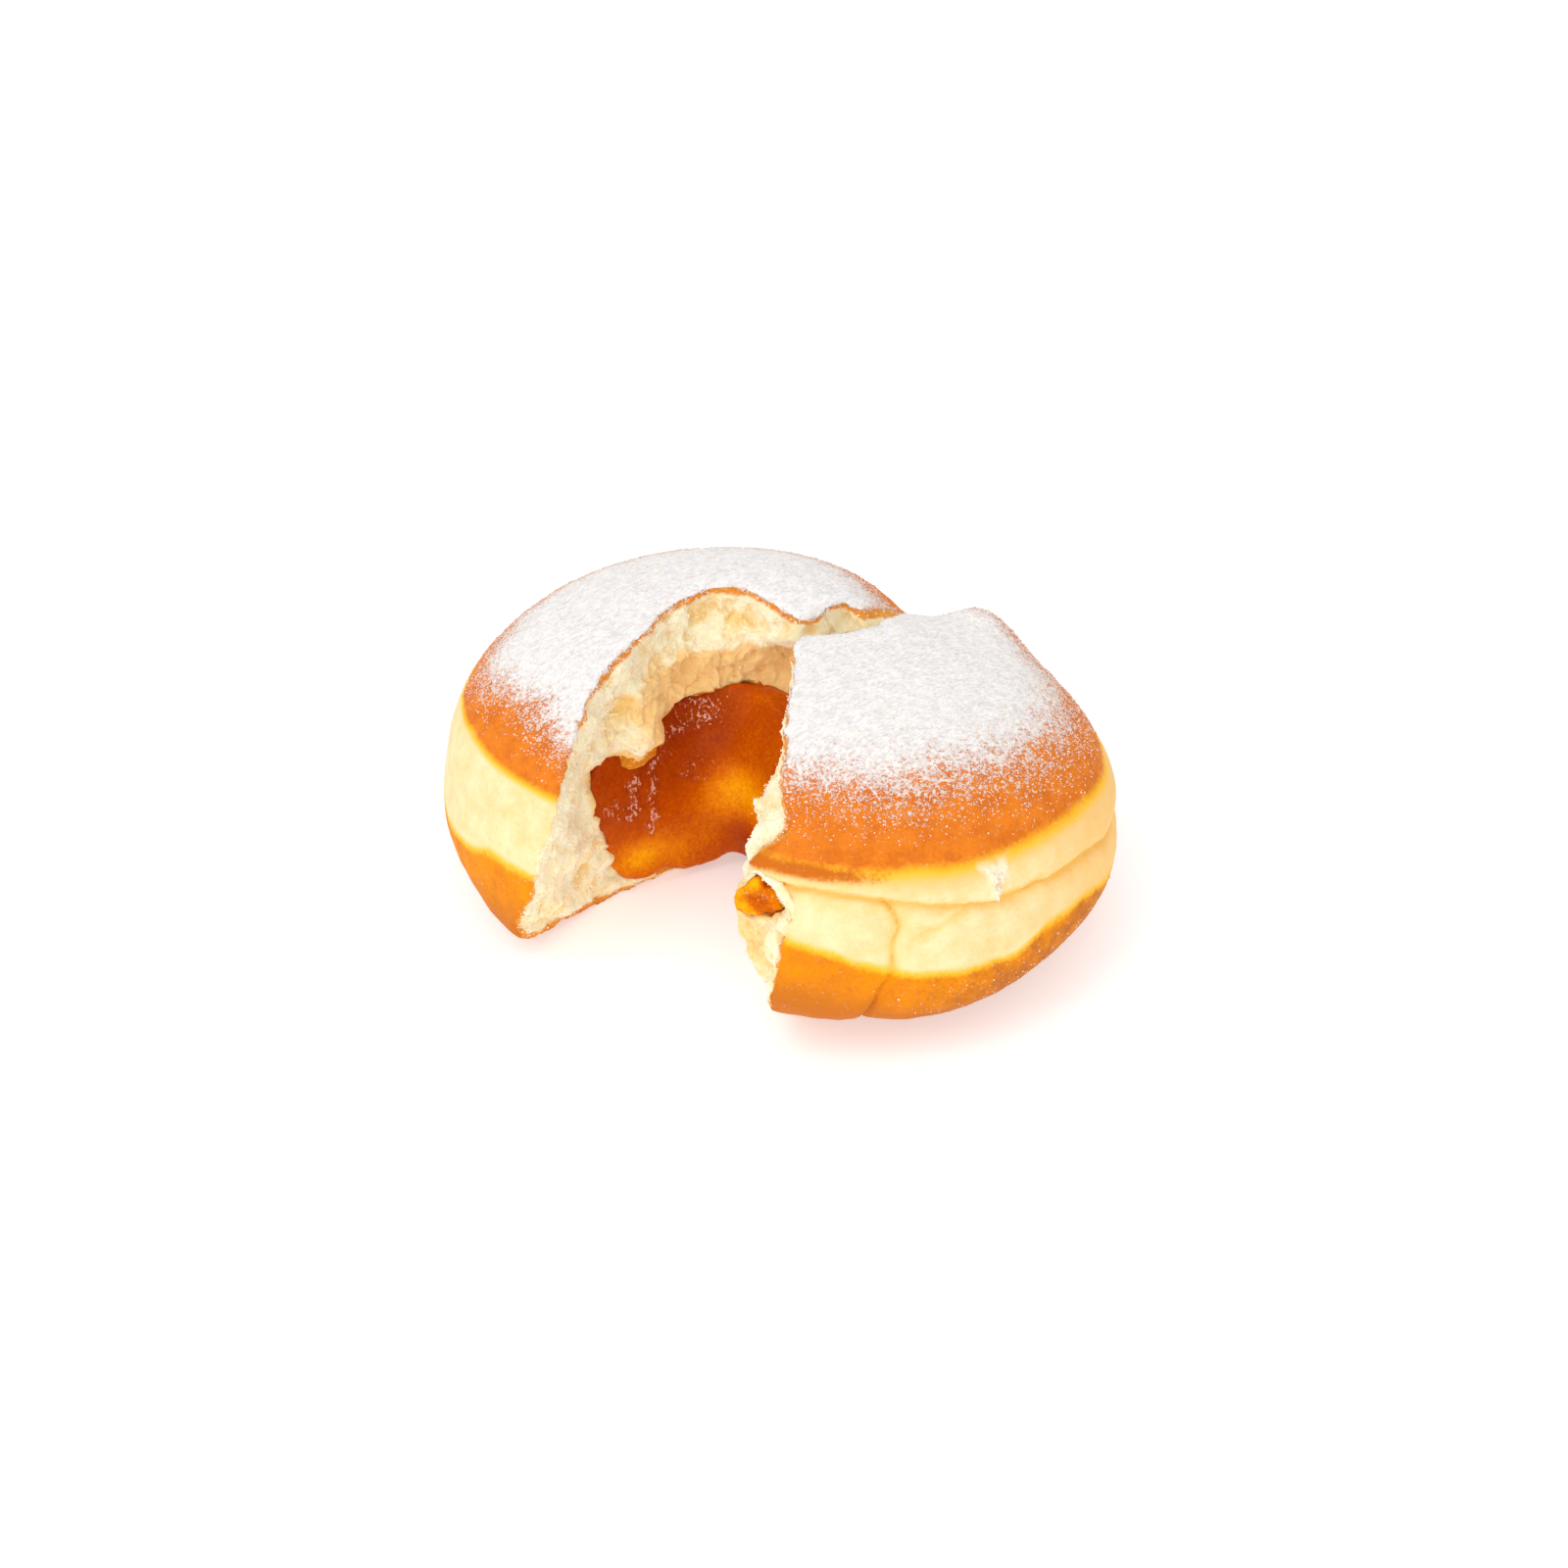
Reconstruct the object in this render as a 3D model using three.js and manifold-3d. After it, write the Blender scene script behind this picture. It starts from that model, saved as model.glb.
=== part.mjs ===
// Jelly filled doughnut, torn open from the front and still joined at the back.
// Millimetres, +Z up, +Y to the back.  The doughnut stands on its flat underside at z = 0.
// One round bun is placed twice, once for each torn half.  Each half keeps only the dough behind
// its own torn face, and the two halves overlap where the bun was not torn through.

import * as THREE from 'three';
import { mergeVertices } from 'three/addons/utils/BufferGeometryUtils.js';
import Module from 'manifold-3d';

// The whole bun before it was torn.
const BUN = {
  radius: 45,
  equator: 19.1,
  height: 49,
  lowerFullness: 2.48,
  upperFullness: 2.46,
  settle: 0.9,
};
const BUN_SEGMENTS = 60;
const BUN_ROWS = 26;

// Where the middle of the bun lies for each half, and how far the half leans over sideways.
const LEFT_HALF = { x: -11.1, y: 3.1, lean: -2.1, phase: 0.4 };
const RIGHT_HALF = { x: 7.2, y: -9.1, lean: 5.3, phase: 0.4 - 0.61 };

// The rise of the dough is uneven: [lobes round the bun, share of the radius, turn].
const UNEVEN = [
  [2, 0.012, 0.9],
  [3, 0.01, 2.1],
  [5, 0.006, 0.3],
];

// The pale ring round the side is pinched in a little where the bun floated in the fat.
const WAIST = { height: 27, half: 6.5, depth: 0.7 };

// The right half's underside is drawn in on its right: how deep, at what angle and below what height.
const TUCK = { depth: 3, angle: -0.42, half: 0.48, low: 8, high: 22 };

// The fold along the front of the right half, [angle, height], under a lip that overhangs it.
const FOLD = [
  [-2.2, 34.6],
  [-1.83, 34.4],
  [-1.5, 33.9],
  [-1.3, 32.8],
  [-0.98, 30.8],
  [-0.8, 31.5],
  [-0.47, 30.4],
];
const LIP = { soft: 1, depth: 1.5, from: -2.35, to: -1.05, fade: 0.15, low: 20, high: 30 };

// Dimples in the crown beside the join and in front of it; a bump has a drop below zero.
const PRESSED = [
  { x: 25, y: 23, reach: 9.2, drop: 4.5 },
  { x: 33.2, y: 18, reach: 7.6, drop: -5.2 },
  { x: 3, y: 6, reach: 5, drop: 1.2 },
  { x: -3, y: 21, reach: 15, drop: -1.5 },
];
const PRESSED_HEIGHTS = { low: 12, high: 40 };

// The torn foot of the left half sinks on to the table.
const SAGGING = { x: -43.5, y: -23, reach: 9, drop: 2.8, low: 10, high: 28 };

// Torn edges, each a list of [x, y] from the front to the join, one list per level.
const LEFT_TEAR = [
  { z: 0, edge: [[-56, -18], [-43.4, -21.4], [-36.6, -15.7], [-31.6, -10], [-25.2, -4.4], [-19, -0.6],
    [-12.5, 3], [-5, 7.5], [3, 12], [10, 14], [17, 17], [26, 24]] },
  { z: 9, edge: [[-56, -27], [-44.6, -27.6], [-37, -19.6], [-33, -12.5], [-27, -7], [-20, -1], [-12, 4.5],
    [-5, 7.5], [4, 9.5], [10, 11.5], [17, 15], [26, 24]] },
  { z: 16, edge: [[-56, -31], [-44, -31.5], [-37.5, -24], [-33.8, -16.5], [-30.5, -10], [-23, -4],
    [-13, 3], [-6, 6], [3, 8.5], [10, 10.5], [17, 14.5], [26, 24]] },
  { z: 22, edge: [[-56, -33], [-42.5, -33], [-37, -26.5], [-34.3, -18], [-32.3, -10.5], [-26, -5],
    [-15, 2.5], [-7, 6], [3, 8], [10, 10.5], [17, 14], [26, 24]] },
  { z: 28, edge: [[-56, -33], [-41, -33.5], [-36.6, -27.5], [-34.5, -18.5], [-32.4, -10.5], [-26, -4.5],
    [-16, 2.5], [-8, 6], [3, 8], [10, 10.5], [17, 14], [26, 24]] },
  { z: 34, edge: [[-56, -34], [-38, -34], [-35.9, -28], [-34.2, -19.5], [-31.8, -11], [-25.5, -3.5],
    [-17.5, 3.2], [-9, 7], [3, 7.5], [10, 10.5], [17, 13], [26, 24]] },
  { z: 39, edge: [[-52, -34], [-36.5, -31], [-34.3, -24.5], [-32.3, -16.5], [-29.4, -8.5], [-24.6, -1.8],
    [-18, 5.5], [-9.5, 9.8], [2.5, 7], [10, 11], [15, 10.5], [26, 24]] },
  { z: 44, edge: [[-50, -32], [-34.5, -27.5], [-33, -20], [-31.3, -12.8], [-27.9, -6], [-23.9, 0],
    [-18.5, 8], [-9.5, 13], [3, 6.4], [9.5, 12.3], [14, 9.3], [26, 24]] },
  { z: 54, edge: [[-50, -31], [-34, -27], [-32.5, -19], [-30.8, -12], [-27.5, -5.5], [-23.5, 0.7],
    [-18, 9], [-9.2, 14], [3, 6.4], [9.5, 12.3], [14, 9.3], [26, 24]] },
];
const RIGHT_TEAR = [
  { z: 0, edge: [[-0.6, -62], [-0.8, -50], [-0.6, -45], [-0.8, -39], [-0.6, -32], [2, -22], [8, -10],
    [13, 0], [19, 11], [26, 24]] },
  { z: 12, edge: [[-1.6, -62], [-2.2, -51], [-2.6, -46], [-3, -40], [-2.4, -32], [1.5, -22], [7, -10],
    [12, 0], [18, 10], [26, 24]] },
  { z: 19, edge: [[0.5, -62], [-0.6, -53], [-3.6, -47], [-5.8, -42], [-4.8, -33], [1, -22], [7, -10],
    [11, 0], [17.5, 9.5], [26, 24]] },
  { z: 25, edge: [[0.5, -62], [0.5, -52.6], [-3, -47], [-7, -42], [-6, -33.5], [1, -22], [5, -10],
    [9.5, 0], [17, 9], [26, 24]] },
  { z: 30, edge: [[0.5, -62], [0.8, -51.5], [-0.6, -46.6], [-5.2, -41], [-5, -32], [1, -22], [3.5, -10],
    [8, 0], [15, 8], [26, 24]] },
  { z: 33, edge: [[-2, -62], [-1.6, -50], [-2.4, -45.8], [-4.8, -40.5], [-4.6, -31], [1.2, -22],
    [3.5, -10], [7, 0], [14, 8], [26, 24]] },
  { z: 36, edge: [[-6, -62], [-5.9, -47], [-5.6, -44], [-5, -39], [-4.2, -29.5], [1.2, -23], [3, -10],
    [5.5, 0], [13.5, 8], [26, 24]] },
  { z: 39.5, edge: [[0.5, -62], [0.7, -44.5], [0.2, -41.5], [-1.2, -37], [-2.2, -29], [1, -22.5],
    [2, -10], [4, 0], [13.5, 7], [26, 24]] },
  { z: 44, edge: [[0.5, -62], [0.3, -43], [-0.2, -38], [-0.6, -35], [-0.2, -29], [0.3, -21], [1.5, -10],
    [3, -1], [14.5, 5.5], [26, 24]] },
  { z: 54, edge: [[0.5, -62], [0.3, -42], [-0.3, -36], [0, -31], [0.3, -25], [1, -18], [2.2, -8],
    [3.1, -0.5], [15, 5.2], [26, 24]] },
];
const TEAR_STEPS = 30;
const TEAR_ROUGH = 0.55;
const TEAR_REACH = 120;
const TEAR_BELOW = 3;
const TEAR_CALM = 0.8;

// The jelly: one mass that fills the hollow of both halves and stays whole at the back.
const JELLY_LOBES = [
  { x: -9.5, y: 3, z: 18, rx: 19.5, ry: 15.5, rz: 14.5, turn: 30 },
  { x: -28, y: -4, z: 20.8, rx: 6.5, ry: 7, rz: 7.2, turn: 30 },
  { x: -24, y: -3.5, z: 11.8, rx: 6.5, ry: 5, rz: 8.6, turn: 35 },
  { x: -14.5, y: 2, z: 11, rx: 11.5, ry: 8.5, rz: 8.8, turn: 25 },
  { x: 8.5, y: -8, z: 20, rx: 15.5, ry: 29, rz: 14.5, turn: -24 },
  { x: 6, y: 4, z: 18.5, rx: 15, ry: 11, rz: 13, turn: 40 },
  { x: -1.2, y: -37, z: 27.8, rx: 4.6, ry: 10.5, rz: 4.4, turn: -18 },
];
const JELLY_SEGMENTS = 20;
const JELLY_ROWS = 11;

// A tongue of torn dough hangs down between the two front lobes of the jelly.
const TONGUE = { x: -24.3, y: -1.3, z: 32, rx: 5.6, ry: 4.6, rz: 8.2, turn: 35 };
const TONGUE_SEGMENTS = 12;
const TONGUE_ROWS = 8;

// The open face of the jelly in the gap: [x, y] seen from above, front edges and the bridge.
const GAP_LEVELS = [
  { z: 0, edge: [[-42, -17], [-31, -9.8], [-24.6, -5.4], [-14, 0.2], [-7, 0.5], [-4, -7], [-3.2, -20],
    [-5, -44]] },
  { z: 8, edge: [[-44, -18], [-31.5, -10.3], [-24.8, -6.4], [-15, -1.2], [-7, -1], [-3.5, -9],
    [-3.2, -20], [-6, -44]] },
  { z: 15, edge: [[-44, -18], [-31.5, -10.5], [-25, -6], [-15, -1], [-6.8, -1], [-3.2, -9], [-3.2, -20],
    [-6, -44]] },
  { z: 24, edge: [[-44, -17], [-31, -9.5], [-24, -3], [-15, 2.5], [-6.5, 2], [-2.6, -7], [-3.4, -20],
    [-6, -44]] },
  { z: 32, edge: [[-42, -12], [-29, -5], [-22, 1.5], [-14, 7.5], [-5, 7.5], [0.5, -4], [-2, -20],
    [-5, -44]] },
  { z: 42, edge: [[-40, -6], [-27, 0], [-20, 6], [-12, 13], [-3, 13], [3, 0], [0, -18], [-3, -44]] },
];

const GAP = 0.3;
const TABLE_SIZE = 300;

const ROUGH_SEED = 5.37;
const MERGE_WITHIN = 1e-4;

const wasm = await Module();
wasm.setup();

/** Smooth rise from 0 to 1 as value goes from low to high. */
function rise(value, low, high) {
  const t = Math.min(1, Math.max(0, (value - low) / (high - low)));
  return t * t * (3 - 2 * t);
}

/** Slow repeatable waves in space, about -1 to 1. */
function waves(x, y, z) {
  const a = Math.sin(0.53 * x + 0.31 * y + ROUGH_SEED) * Math.cos(0.47 * z - 0.29 * x);
  const b = Math.sin(0.83 * y - 0.37 * z + 1.7) * Math.cos(0.71 * x + 0.6 * z);
  return (a + b) / 2;
}

/** Removes triangles that lost an edge when vertices were merged. */
function withoutSlivers(geometry) {
  const index = geometry.getIndex().array;
  const kept = [];
  for (let i = 0; i < index.length; i += 3) {
    const [a, b, c] = [index[i], index[i + 1], index[i + 2]];
    if (a !== b && b !== c && c !== a) {
      kept.push(a, b, c);
    }
  }
  geometry.setIndex(kept);
  return geometry;
}

/** Turns a closed three.js geometry into a solid. */
function toSolid(geometry) {
  const bare = geometry.clone();
  bare.deleteAttribute('normal');
  bare.deleteAttribute('uv');
  const merged = withoutSlivers(mergeVertices(bare, MERGE_WITHIN));
  return new wasm.Manifold(new wasm.Mesh({
    numProp: 3,
    vertProperties: new Float32Array(merged.getAttribute('position').array),
    triVerts: new Uint32Array(merged.getIndex().array),
  }));
}

/** Turns a solid back into a three.js geometry. */
function toGeometry(solid) {
  const mesh = solid.getMesh();
  const geometry = new THREE.BufferGeometry();
  geometry.setAttribute('position', new THREE.BufferAttribute(new Float32Array(mesh.vertProperties), 3));
  geometry.setIndex(new THREE.BufferAttribute(new Uint32Array(mesh.triVerts), 1));
  geometry.computeVertexNormals();
  return geometry;
}

/** Moves every vertex of a geometry by a function of its position. */
function reshape(geometry, move) {
  const position = geometry.getAttribute('position');
  const point = new THREE.Vector3();
  for (let i = 0; i < position.count; i += 1) {
    point.fromBufferAttribute(position, i);
    move(point);
    position.setXYZ(i, point.x, point.y, point.z);
  }
  return geometry;
}

/** Outline of the bun from the middle of the underside to the middle of the top. */
function bunOutline() {
  const points = [];
  const { radius, equator, height, lowerFullness, upperFullness } = BUN;
  for (let i = 0; i <= BUN_ROWS; i += 1) {
    const t = (Math.PI * i) / BUN_ROWS - Math.PI / 2;
    const fullness = t < 0 ? lowerFullness : upperFullness;
    const depth = t < 0 ? equator : height - equator;
    const r = radius * Math.abs(Math.cos(t)) ** (2 / fullness);
    const z = equator + Math.sign(t) * depth * Math.abs(Math.sin(t)) ** (2 / fullness);
    points.push(new THREE.Vector2(i === 0 || i === BUN_ROWS ? 0 : r, z));
  }
  return points;
}

/** Factor on the radius at one angle round the bun. */
function unevenness(angle, phase) {
  return UNEVEN.reduce((sum, [lobes, share, turn]) => (
    sum + share * Math.sin(lobes * (angle - phase) + turn)), 1);
}

/** Height of the fold at one angle round the bun. */
function foldHeight(angle) {
  const next = FOLD.findIndex(([knot]) => knot > angle);
  if (next < 1) {
    return FOLD[next < 0 ? FOLD.length - 1 : 0][1];
  }
  const [before, low] = FOLD[next - 1];
  const [after, high] = FOLD[next];
  return low + ((high - low) * (angle - before)) / (after - before);
}

/** How far the skin is pressed in under the lip. */
function underLip(angle, height) {
  const along = rise(angle, LIP.from, LIP.from + LIP.fade) * (1 - rise(angle, LIP.to, LIP.to + LIP.fade));
  const fold = foldHeight(angle);
  const under = 1 - rise(height, fold - LIP.soft, fold + LIP.soft);
  return LIP.depth * along * under * rise(height, LIP.low, LIP.high);
}

/** How far the underside is drawn in on the right. */
function tuckedIn(angle, height) {
  const away = (angle - TUCK.angle) / TUCK.half;
  return TUCK.depth * Math.exp(-away * away) * (1 - rise(height, TUCK.low, TUCK.high));
}

/** Bell curve over the plan distance from a dimple, 1 at its middle. */
function dimple(point, spot) {
  const away = Math.hypot(point.x - spot.x, point.y - spot.y) / spot.reach;
  return spot.drop * Math.exp(-away * away);
}

/** One whole bun standing where the given half lies. */
function makeBun(half, isRight) {
  const geometry = new THREE.LatheGeometry(bunOutline(), BUN_SEGMENTS);
  geometry.rotateX(Math.PI / 2);
  reshape(geometry, (point) => {
    const angle = Math.atan2(point.y, point.x);
    const reach = Math.hypot(point.x, point.y);
    const level = (point.z - WAIST.height) / WAIST.half;
    const waist = WAIST.depth * Math.exp(-level * level) * (reach / BUN.radius) ** 4;
    const inward = waist + (isRight ? underLip(angle, point.z) + tuckedIn(angle, point.z) : 0);
    const factor = unevenness(angle, half.phase) * (1 - inward / BUN.radius);
    point.x *= factor;
    point.y *= factor;
  });
  geometry.rotateY(THREE.MathUtils.degToRad(half.lean));
  geometry.translate(half.x, half.y, -BUN.settle);
  reshape(geometry, (point) => {
    const crown = PRESSED.reduce((sum, spot) => sum + dimple(point, spot), 0);
    const sag = dimple(point, SAGGING) * (1 - rise(point.z, SAGGING.low, SAGGING.high));
    point.z -= crown * rise(point.z, PRESSED_HEIGHTS.low, PRESSED_HEIGHTS.high) + sag;
  });
  return toSolid(geometry);
}

/** The smooth edge through the listed points of one level. */
function edgeCurve(points, z) {
  return new THREE.CatmullRomCurve3(points.map(([x, y]) => new THREE.Vector3(x, y, z)), false, 'centripetal');
}

/** A point on a torn face: share along it from the front to the join, and height. */
function tearPoint(levels, curves, share, z) {
  let upper = levels.findIndex((level) => level.z >= z);
  upper = upper < 1 ? (upper === 0 ? 1 : levels.length - 1) : upper;
  const low = levels[upper - 1];
  const high = levels[upper];
  const mix = Math.min(1, Math.max(0, (z - low.z) / (high.z - low.z)));
  return curves[upper - 1].getPoint(share).lerp(curves[upper].getPoint(share), mix);
}

/** A block whose near face is the torn face and which reaches away along the given direction. */
function tearBlock(levels, reach, rough) {
  const heights = [-TEAR_BELOW, ...levels.map((level) => level.z)];
  const curves = levels.map((level) => edgeCurve(level.edge, level.z));
  const block = new THREE.BoxGeometry(1, 1, 1, TEAR_STEPS, 1, levels.length);
  block.translate(0.5, 0.5, 0.5);
  reshape(block, (point) => {
    const z = heights[Math.round(point.z * levels.length)];
    const spot = tearPoint(levels, curves, point.x, Math.max(0, z));
    const bump = rough * waves(spot.x, spot.y, z) * (1 - rise(point.x, TEAR_CALM, 1));
    const far = point.y;
    point.set(spot.x + bump + far * reach.x, spot.y - bump + far * reach.y, z);
  });
  return block;
}

/** Reverses a closed geometry that came out inside out. */
function facingOut(geometry) {
  const solid = toSolid(geometry);
  if (solid.volume() > 0) {
    return solid;
  }
  const index = geometry.getIndex();
  for (let i = 0; i < index.count; i += 3) {
    const kept = index.getX(i);
    index.setX(i, index.getX(i + 1));
    index.setX(i + 1, kept);
  }
  return toSolid(geometry);
}

/** One ball-like lobe, grown all round by the given clearance. */
function makeLobe(lobe, clearance, segments, rows) {
  const ball = new THREE.SphereGeometry(1, segments, rows);
  ball.rotateX(Math.PI / 2);
  ball.scale(lobe.rx + clearance, lobe.ry + clearance, lobe.rz + clearance);
  ball.rotateZ(THREE.MathUtils.degToRad(lobe.turn));
  ball.translate(lobe.x, lobe.y, lobe.z);
  return toSolid(ball);
}

/** The jelly mass before its open face is cut, grown all round by the given clearance. */
function makeJellyMass(clearance) {
  const lobes = JELLY_LOBES.map((lobe) => makeLobe(lobe, clearance, JELLY_SEGMENTS, JELLY_ROWS));
  return lobes.reduce((whole, lobe) => whole.add(lobe));
}

/** A wide slab that keeps only what stands above the table. */
function aboveTable() {
  const slab = new THREE.BoxGeometry(TABLE_SIZE, TABLE_SIZE, TABLE_SIZE);
  slab.translate(0, 0, TABLE_SIZE / 2);
  return toSolid(slab);
}

const leftCut = facingOut(tearBlock(LEFT_TEAR, { x: 0, y: -TEAR_REACH }, TEAR_ROUGH));
const rightCut = facingOut(tearBlock(RIGHT_TEAR, { x: -TEAR_REACH, y: 0 }, TEAR_ROUGH));
const leftDough = makeBun(LEFT_HALF, false).subtract(leftCut);
const rightDough = makeBun(RIGHT_HALF, true).subtract(rightCut);
const halves = leftDough.add(rightDough).subtract(makeJellyMass(GAP));
const tongue = makeLobe(TONGUE, 0, TONGUE_SEGMENTS, TONGUE_ROWS);
const doughSolid = halves.add(tongue).intersect(aboveTable());

const gapFront = facingOut(tearBlock(GAP_LEVELS, { x: -TEAR_REACH / 2, y: -TEAR_REACH }, 0));
const tongueHollow = makeLobe(TONGUE, GAP, TONGUE_SEGMENTS, TONGUE_ROWS);
const jellySolid = makeJellyMass(0).subtract(gapFront).subtract(tongueHollow).intersect(aboveTable());

const box = doughSolid.boundingBox();
const middle = [(box.min[0] + box.max[0]) / 2, (box.min[1] + box.max[1]) / 2];

/** A named mesh of one solid, moved so that the doughnut's footprint is centred. */
function makeNode(name, solid, colour, roughness) {
  const geometry = toGeometry(solid);
  geometry.translate(-middle[0], -middle[1], 0);
  const material = new THREE.MeshStandardMaterial({ color: colour, roughness, metalness: 0 });
  const mesh = new THREE.Mesh(geometry, material);
  mesh.name = name;
  return mesh;
}

const doughnut = new THREE.Group();
doughnut.name = 'jelly_doughnut';
doughnut.add(makeNode('dough', doughSolid, 0xe2a85c, 0.8));
doughnut.add(makeNode('jelly', jellySolid, 0xd46a08, 0.2));

export default doughnut;
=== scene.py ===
"""Jelly filled doughnut, torn open at the front and still joined at the back.

Shapes are worked out in millimetres in the bun's own places and moved to the part's frame,
in metres, when a piece is finished.
"""

from __future__ import annotations

import logging
import math
from collections.abc import Callable, Iterable
from dataclasses import dataclass, field
from enum import Enum

import bmesh
import bpy
import numpy as np
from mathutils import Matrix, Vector, noise
from mathutils.bvhtree import BVHTree


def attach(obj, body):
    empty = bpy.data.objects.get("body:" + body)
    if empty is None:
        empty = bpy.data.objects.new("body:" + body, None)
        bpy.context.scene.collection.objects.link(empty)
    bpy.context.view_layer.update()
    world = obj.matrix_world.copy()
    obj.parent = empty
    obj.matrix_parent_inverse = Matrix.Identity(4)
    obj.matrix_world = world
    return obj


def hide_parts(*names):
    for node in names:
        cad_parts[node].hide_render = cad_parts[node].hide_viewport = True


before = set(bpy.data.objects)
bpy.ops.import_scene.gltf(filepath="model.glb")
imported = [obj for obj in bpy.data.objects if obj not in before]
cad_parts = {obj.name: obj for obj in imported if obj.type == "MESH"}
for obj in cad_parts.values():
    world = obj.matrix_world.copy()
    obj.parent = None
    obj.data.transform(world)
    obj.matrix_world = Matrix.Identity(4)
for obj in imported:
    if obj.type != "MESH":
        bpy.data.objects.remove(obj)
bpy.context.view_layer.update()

LOG = logging.getLogger("doughnut")
MM = 0.001
SHIFT = np.array([1.0825, 2.6875, 0.0])
"""From the place where the halves are laid out to the middle of the part's footprint."""


# --------------------------------------------------------------------------- small tools


def rise(value: np.ndarray, low: float, high: float) -> np.ndarray:
    """Smooth step from 0 at low to 1 at high."""
    share = np.clip((np.asarray(value, float) - low) / (high - low), 0.0, 1.0)
    return share * share * (3.0 - 2.0 * share)


def hump(value: np.ndarray, middle: float, half: float) -> np.ndarray:
    """Bell curve: 1 at the middle, about a third at half either side."""
    level = (np.asarray(value, float) - middle) / half
    return np.exp(-level * level)


def between(value: np.ndarray, start: tuple[float, float], end: tuple[float, float]) -> np.ndarray:
    """Fades in over the start and out over the end: 1 in between and 0 outside."""
    return rise(value, *start) * (1 - rise(value, *end))


def spline(points: np.ndarray, share: np.ndarray) -> np.ndarray:
    """Points on the smooth curve through the given ones.

    Args:
        points: Points to pass through, first axis along the curve.
        share: How far along the curve, 0 to 1, one for each wanted point.

    Returns:
        One point for each share.
    """
    spans = len(points) - 1
    ends = (2 * points[:1] - points[1:2], 2 * points[-1:] - points[-2:-1])
    padded = np.concatenate([ends[0], points, ends[1]])
    along = np.clip(share, 0.0, 1.0) * spans
    span = np.minimum(along.astype(int), spans - 1)
    t = (along - span).reshape((-1,) + (1,) * (points.ndim - 1))
    before, start, end, after = (padded[span + step] for step in range(4))
    curve = 2 * start + (end - before) * t
    curve += (2 * before - 5 * start + 4 * end - after) * t**2
    curve += (3 * start - before - 3 * end + after) * t**3
    return curve / 2


def swirl(points: np.ndarray, size: float, octaves: int = 3, seed: float = 0.0) -> np.ndarray:
    """Cloudy noise at each point.

    Args:
        points: Places in millimetres.
        size: Width of the largest waves in millimetres.
        octaves: How many finer copies are added.
        seed: Moves the pattern to another part of the noise.

    Returns:
        Values of about -1 to 1.
    """
    spots = points / size + seed
    values = (noise.fractal(Vector(spot), 0.9, 2.1, octaves) for spot in spots)
    return np.fromiter(values, float, len(spots))


def pits(points: np.ndarray, size: float, seed: float = 0.0) -> np.ndarray:
    """Distance to the nearest of a scatter of spots, as a share of their spacing.

    Args:
        points: Places in millimetres.
        size: Spacing of the spots in millimetres.
        seed: Moves the pattern to another part of the noise.

    Returns:
        Zero at a spot, rising to about 1 between spots.
    """
    spots = points / size + seed
    values = (noise.voronoi(Vector(spot))[0][0] for spot in spots)
    return np.fromiter(values, float, len(spots))


def around(angle: np.ndarray, *knots: tuple[float, float]) -> np.ndarray:
    """Value at each angle, read between knots of angle and value all round a circle."""
    angles, values = zip(*knots)
    return np.interp(angle, angles, values, period=math.tau)


def corners(mesh: bpy.types.Mesh) -> np.ndarray:
    """Vertex places of a mesh as rows."""
    places = np.empty(len(mesh.vertices) * 3, np.float32)
    mesh.vertices.foreach_get("co", places)
    return places.reshape(-1, 3).astype(float)


def outward(mesh: bpy.types.Mesh) -> np.ndarray:
    """Vertex normals of a mesh as rows."""
    normals = np.empty(len(mesh.vertices) * 3, np.float32)
    mesh.vertex_normals.foreach_get("vector", normals)
    return normals.reshape(-1, 3).astype(float)


def bearing(places: np.ndarray) -> np.ndarray:
    """Angle of each place round the Z axis."""
    return np.arctan2(places[:, 1], places[:, 0])


def place(mesh: bpy.types.Mesh, places: np.ndarray) -> None:
    """Puts the vertices of a mesh at the given rows."""
    mesh.vertices.foreach_set("co", places.astype(np.float32).ravel())
    mesh.update()


def reshape(shape: bmesh.types.BMesh, move: Callable[[np.ndarray], np.ndarray]) -> None:
    """Moves every vertex of a bmesh.

    Args:
        shape: The bmesh to change.
        move: Takes all places as rows and gives the new ones.
    """
    places = np.array([vertex.co for vertex in shape.verts])
    for vertex, spot in zip(shape.verts, move(places)):
        vertex.co = spot


def thing(name: str, mesh: bpy.types.Mesh) -> bpy.types.Object:
    """A new object in the scene that shows the mesh."""
    item = bpy.data.objects.new(name, mesh)
    bpy.context.scene.collection.objects.link(item)
    return item


def from_bmesh(name: str, shape: bmesh.types.BMesh) -> bpy.types.Object:
    """Turns a bmesh into an object and frees it.

    Args:
        name: Name of the new object.
        shape: The bmesh, which is freed.

    Returns:
        The new object.
    """
    bmesh.ops.recalc_face_normals(shape, faces=shape.faces)
    mesh = bpy.data.meshes.new(name)
    shape.to_mesh(mesh)
    shape.free()
    return thing(name, mesh)


def drop(item: bpy.types.Object) -> None:
    """Removes a helper object and its mesh."""
    mesh = item.data
    bpy.data.objects.remove(item)
    bpy.data.meshes.remove(mesh)


def settle(item: bpy.types.Object) -> None:
    """Applies an object's modifiers to its mesh.

    Args:
        item: The object to change.
    """
    graph = bpy.context.evaluated_depsgraph_get()
    graph.update()
    done = bpy.data.meshes.new_from_object(item.evaluated_get(graph))
    item.modifiers.clear()
    old, item.data = item.data, done
    bpy.data.meshes.remove(old)


class Join(Enum):
    """How one solid is combined with another."""

    ADD = "UNION"
    CUT = "DIFFERENCE"


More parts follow.
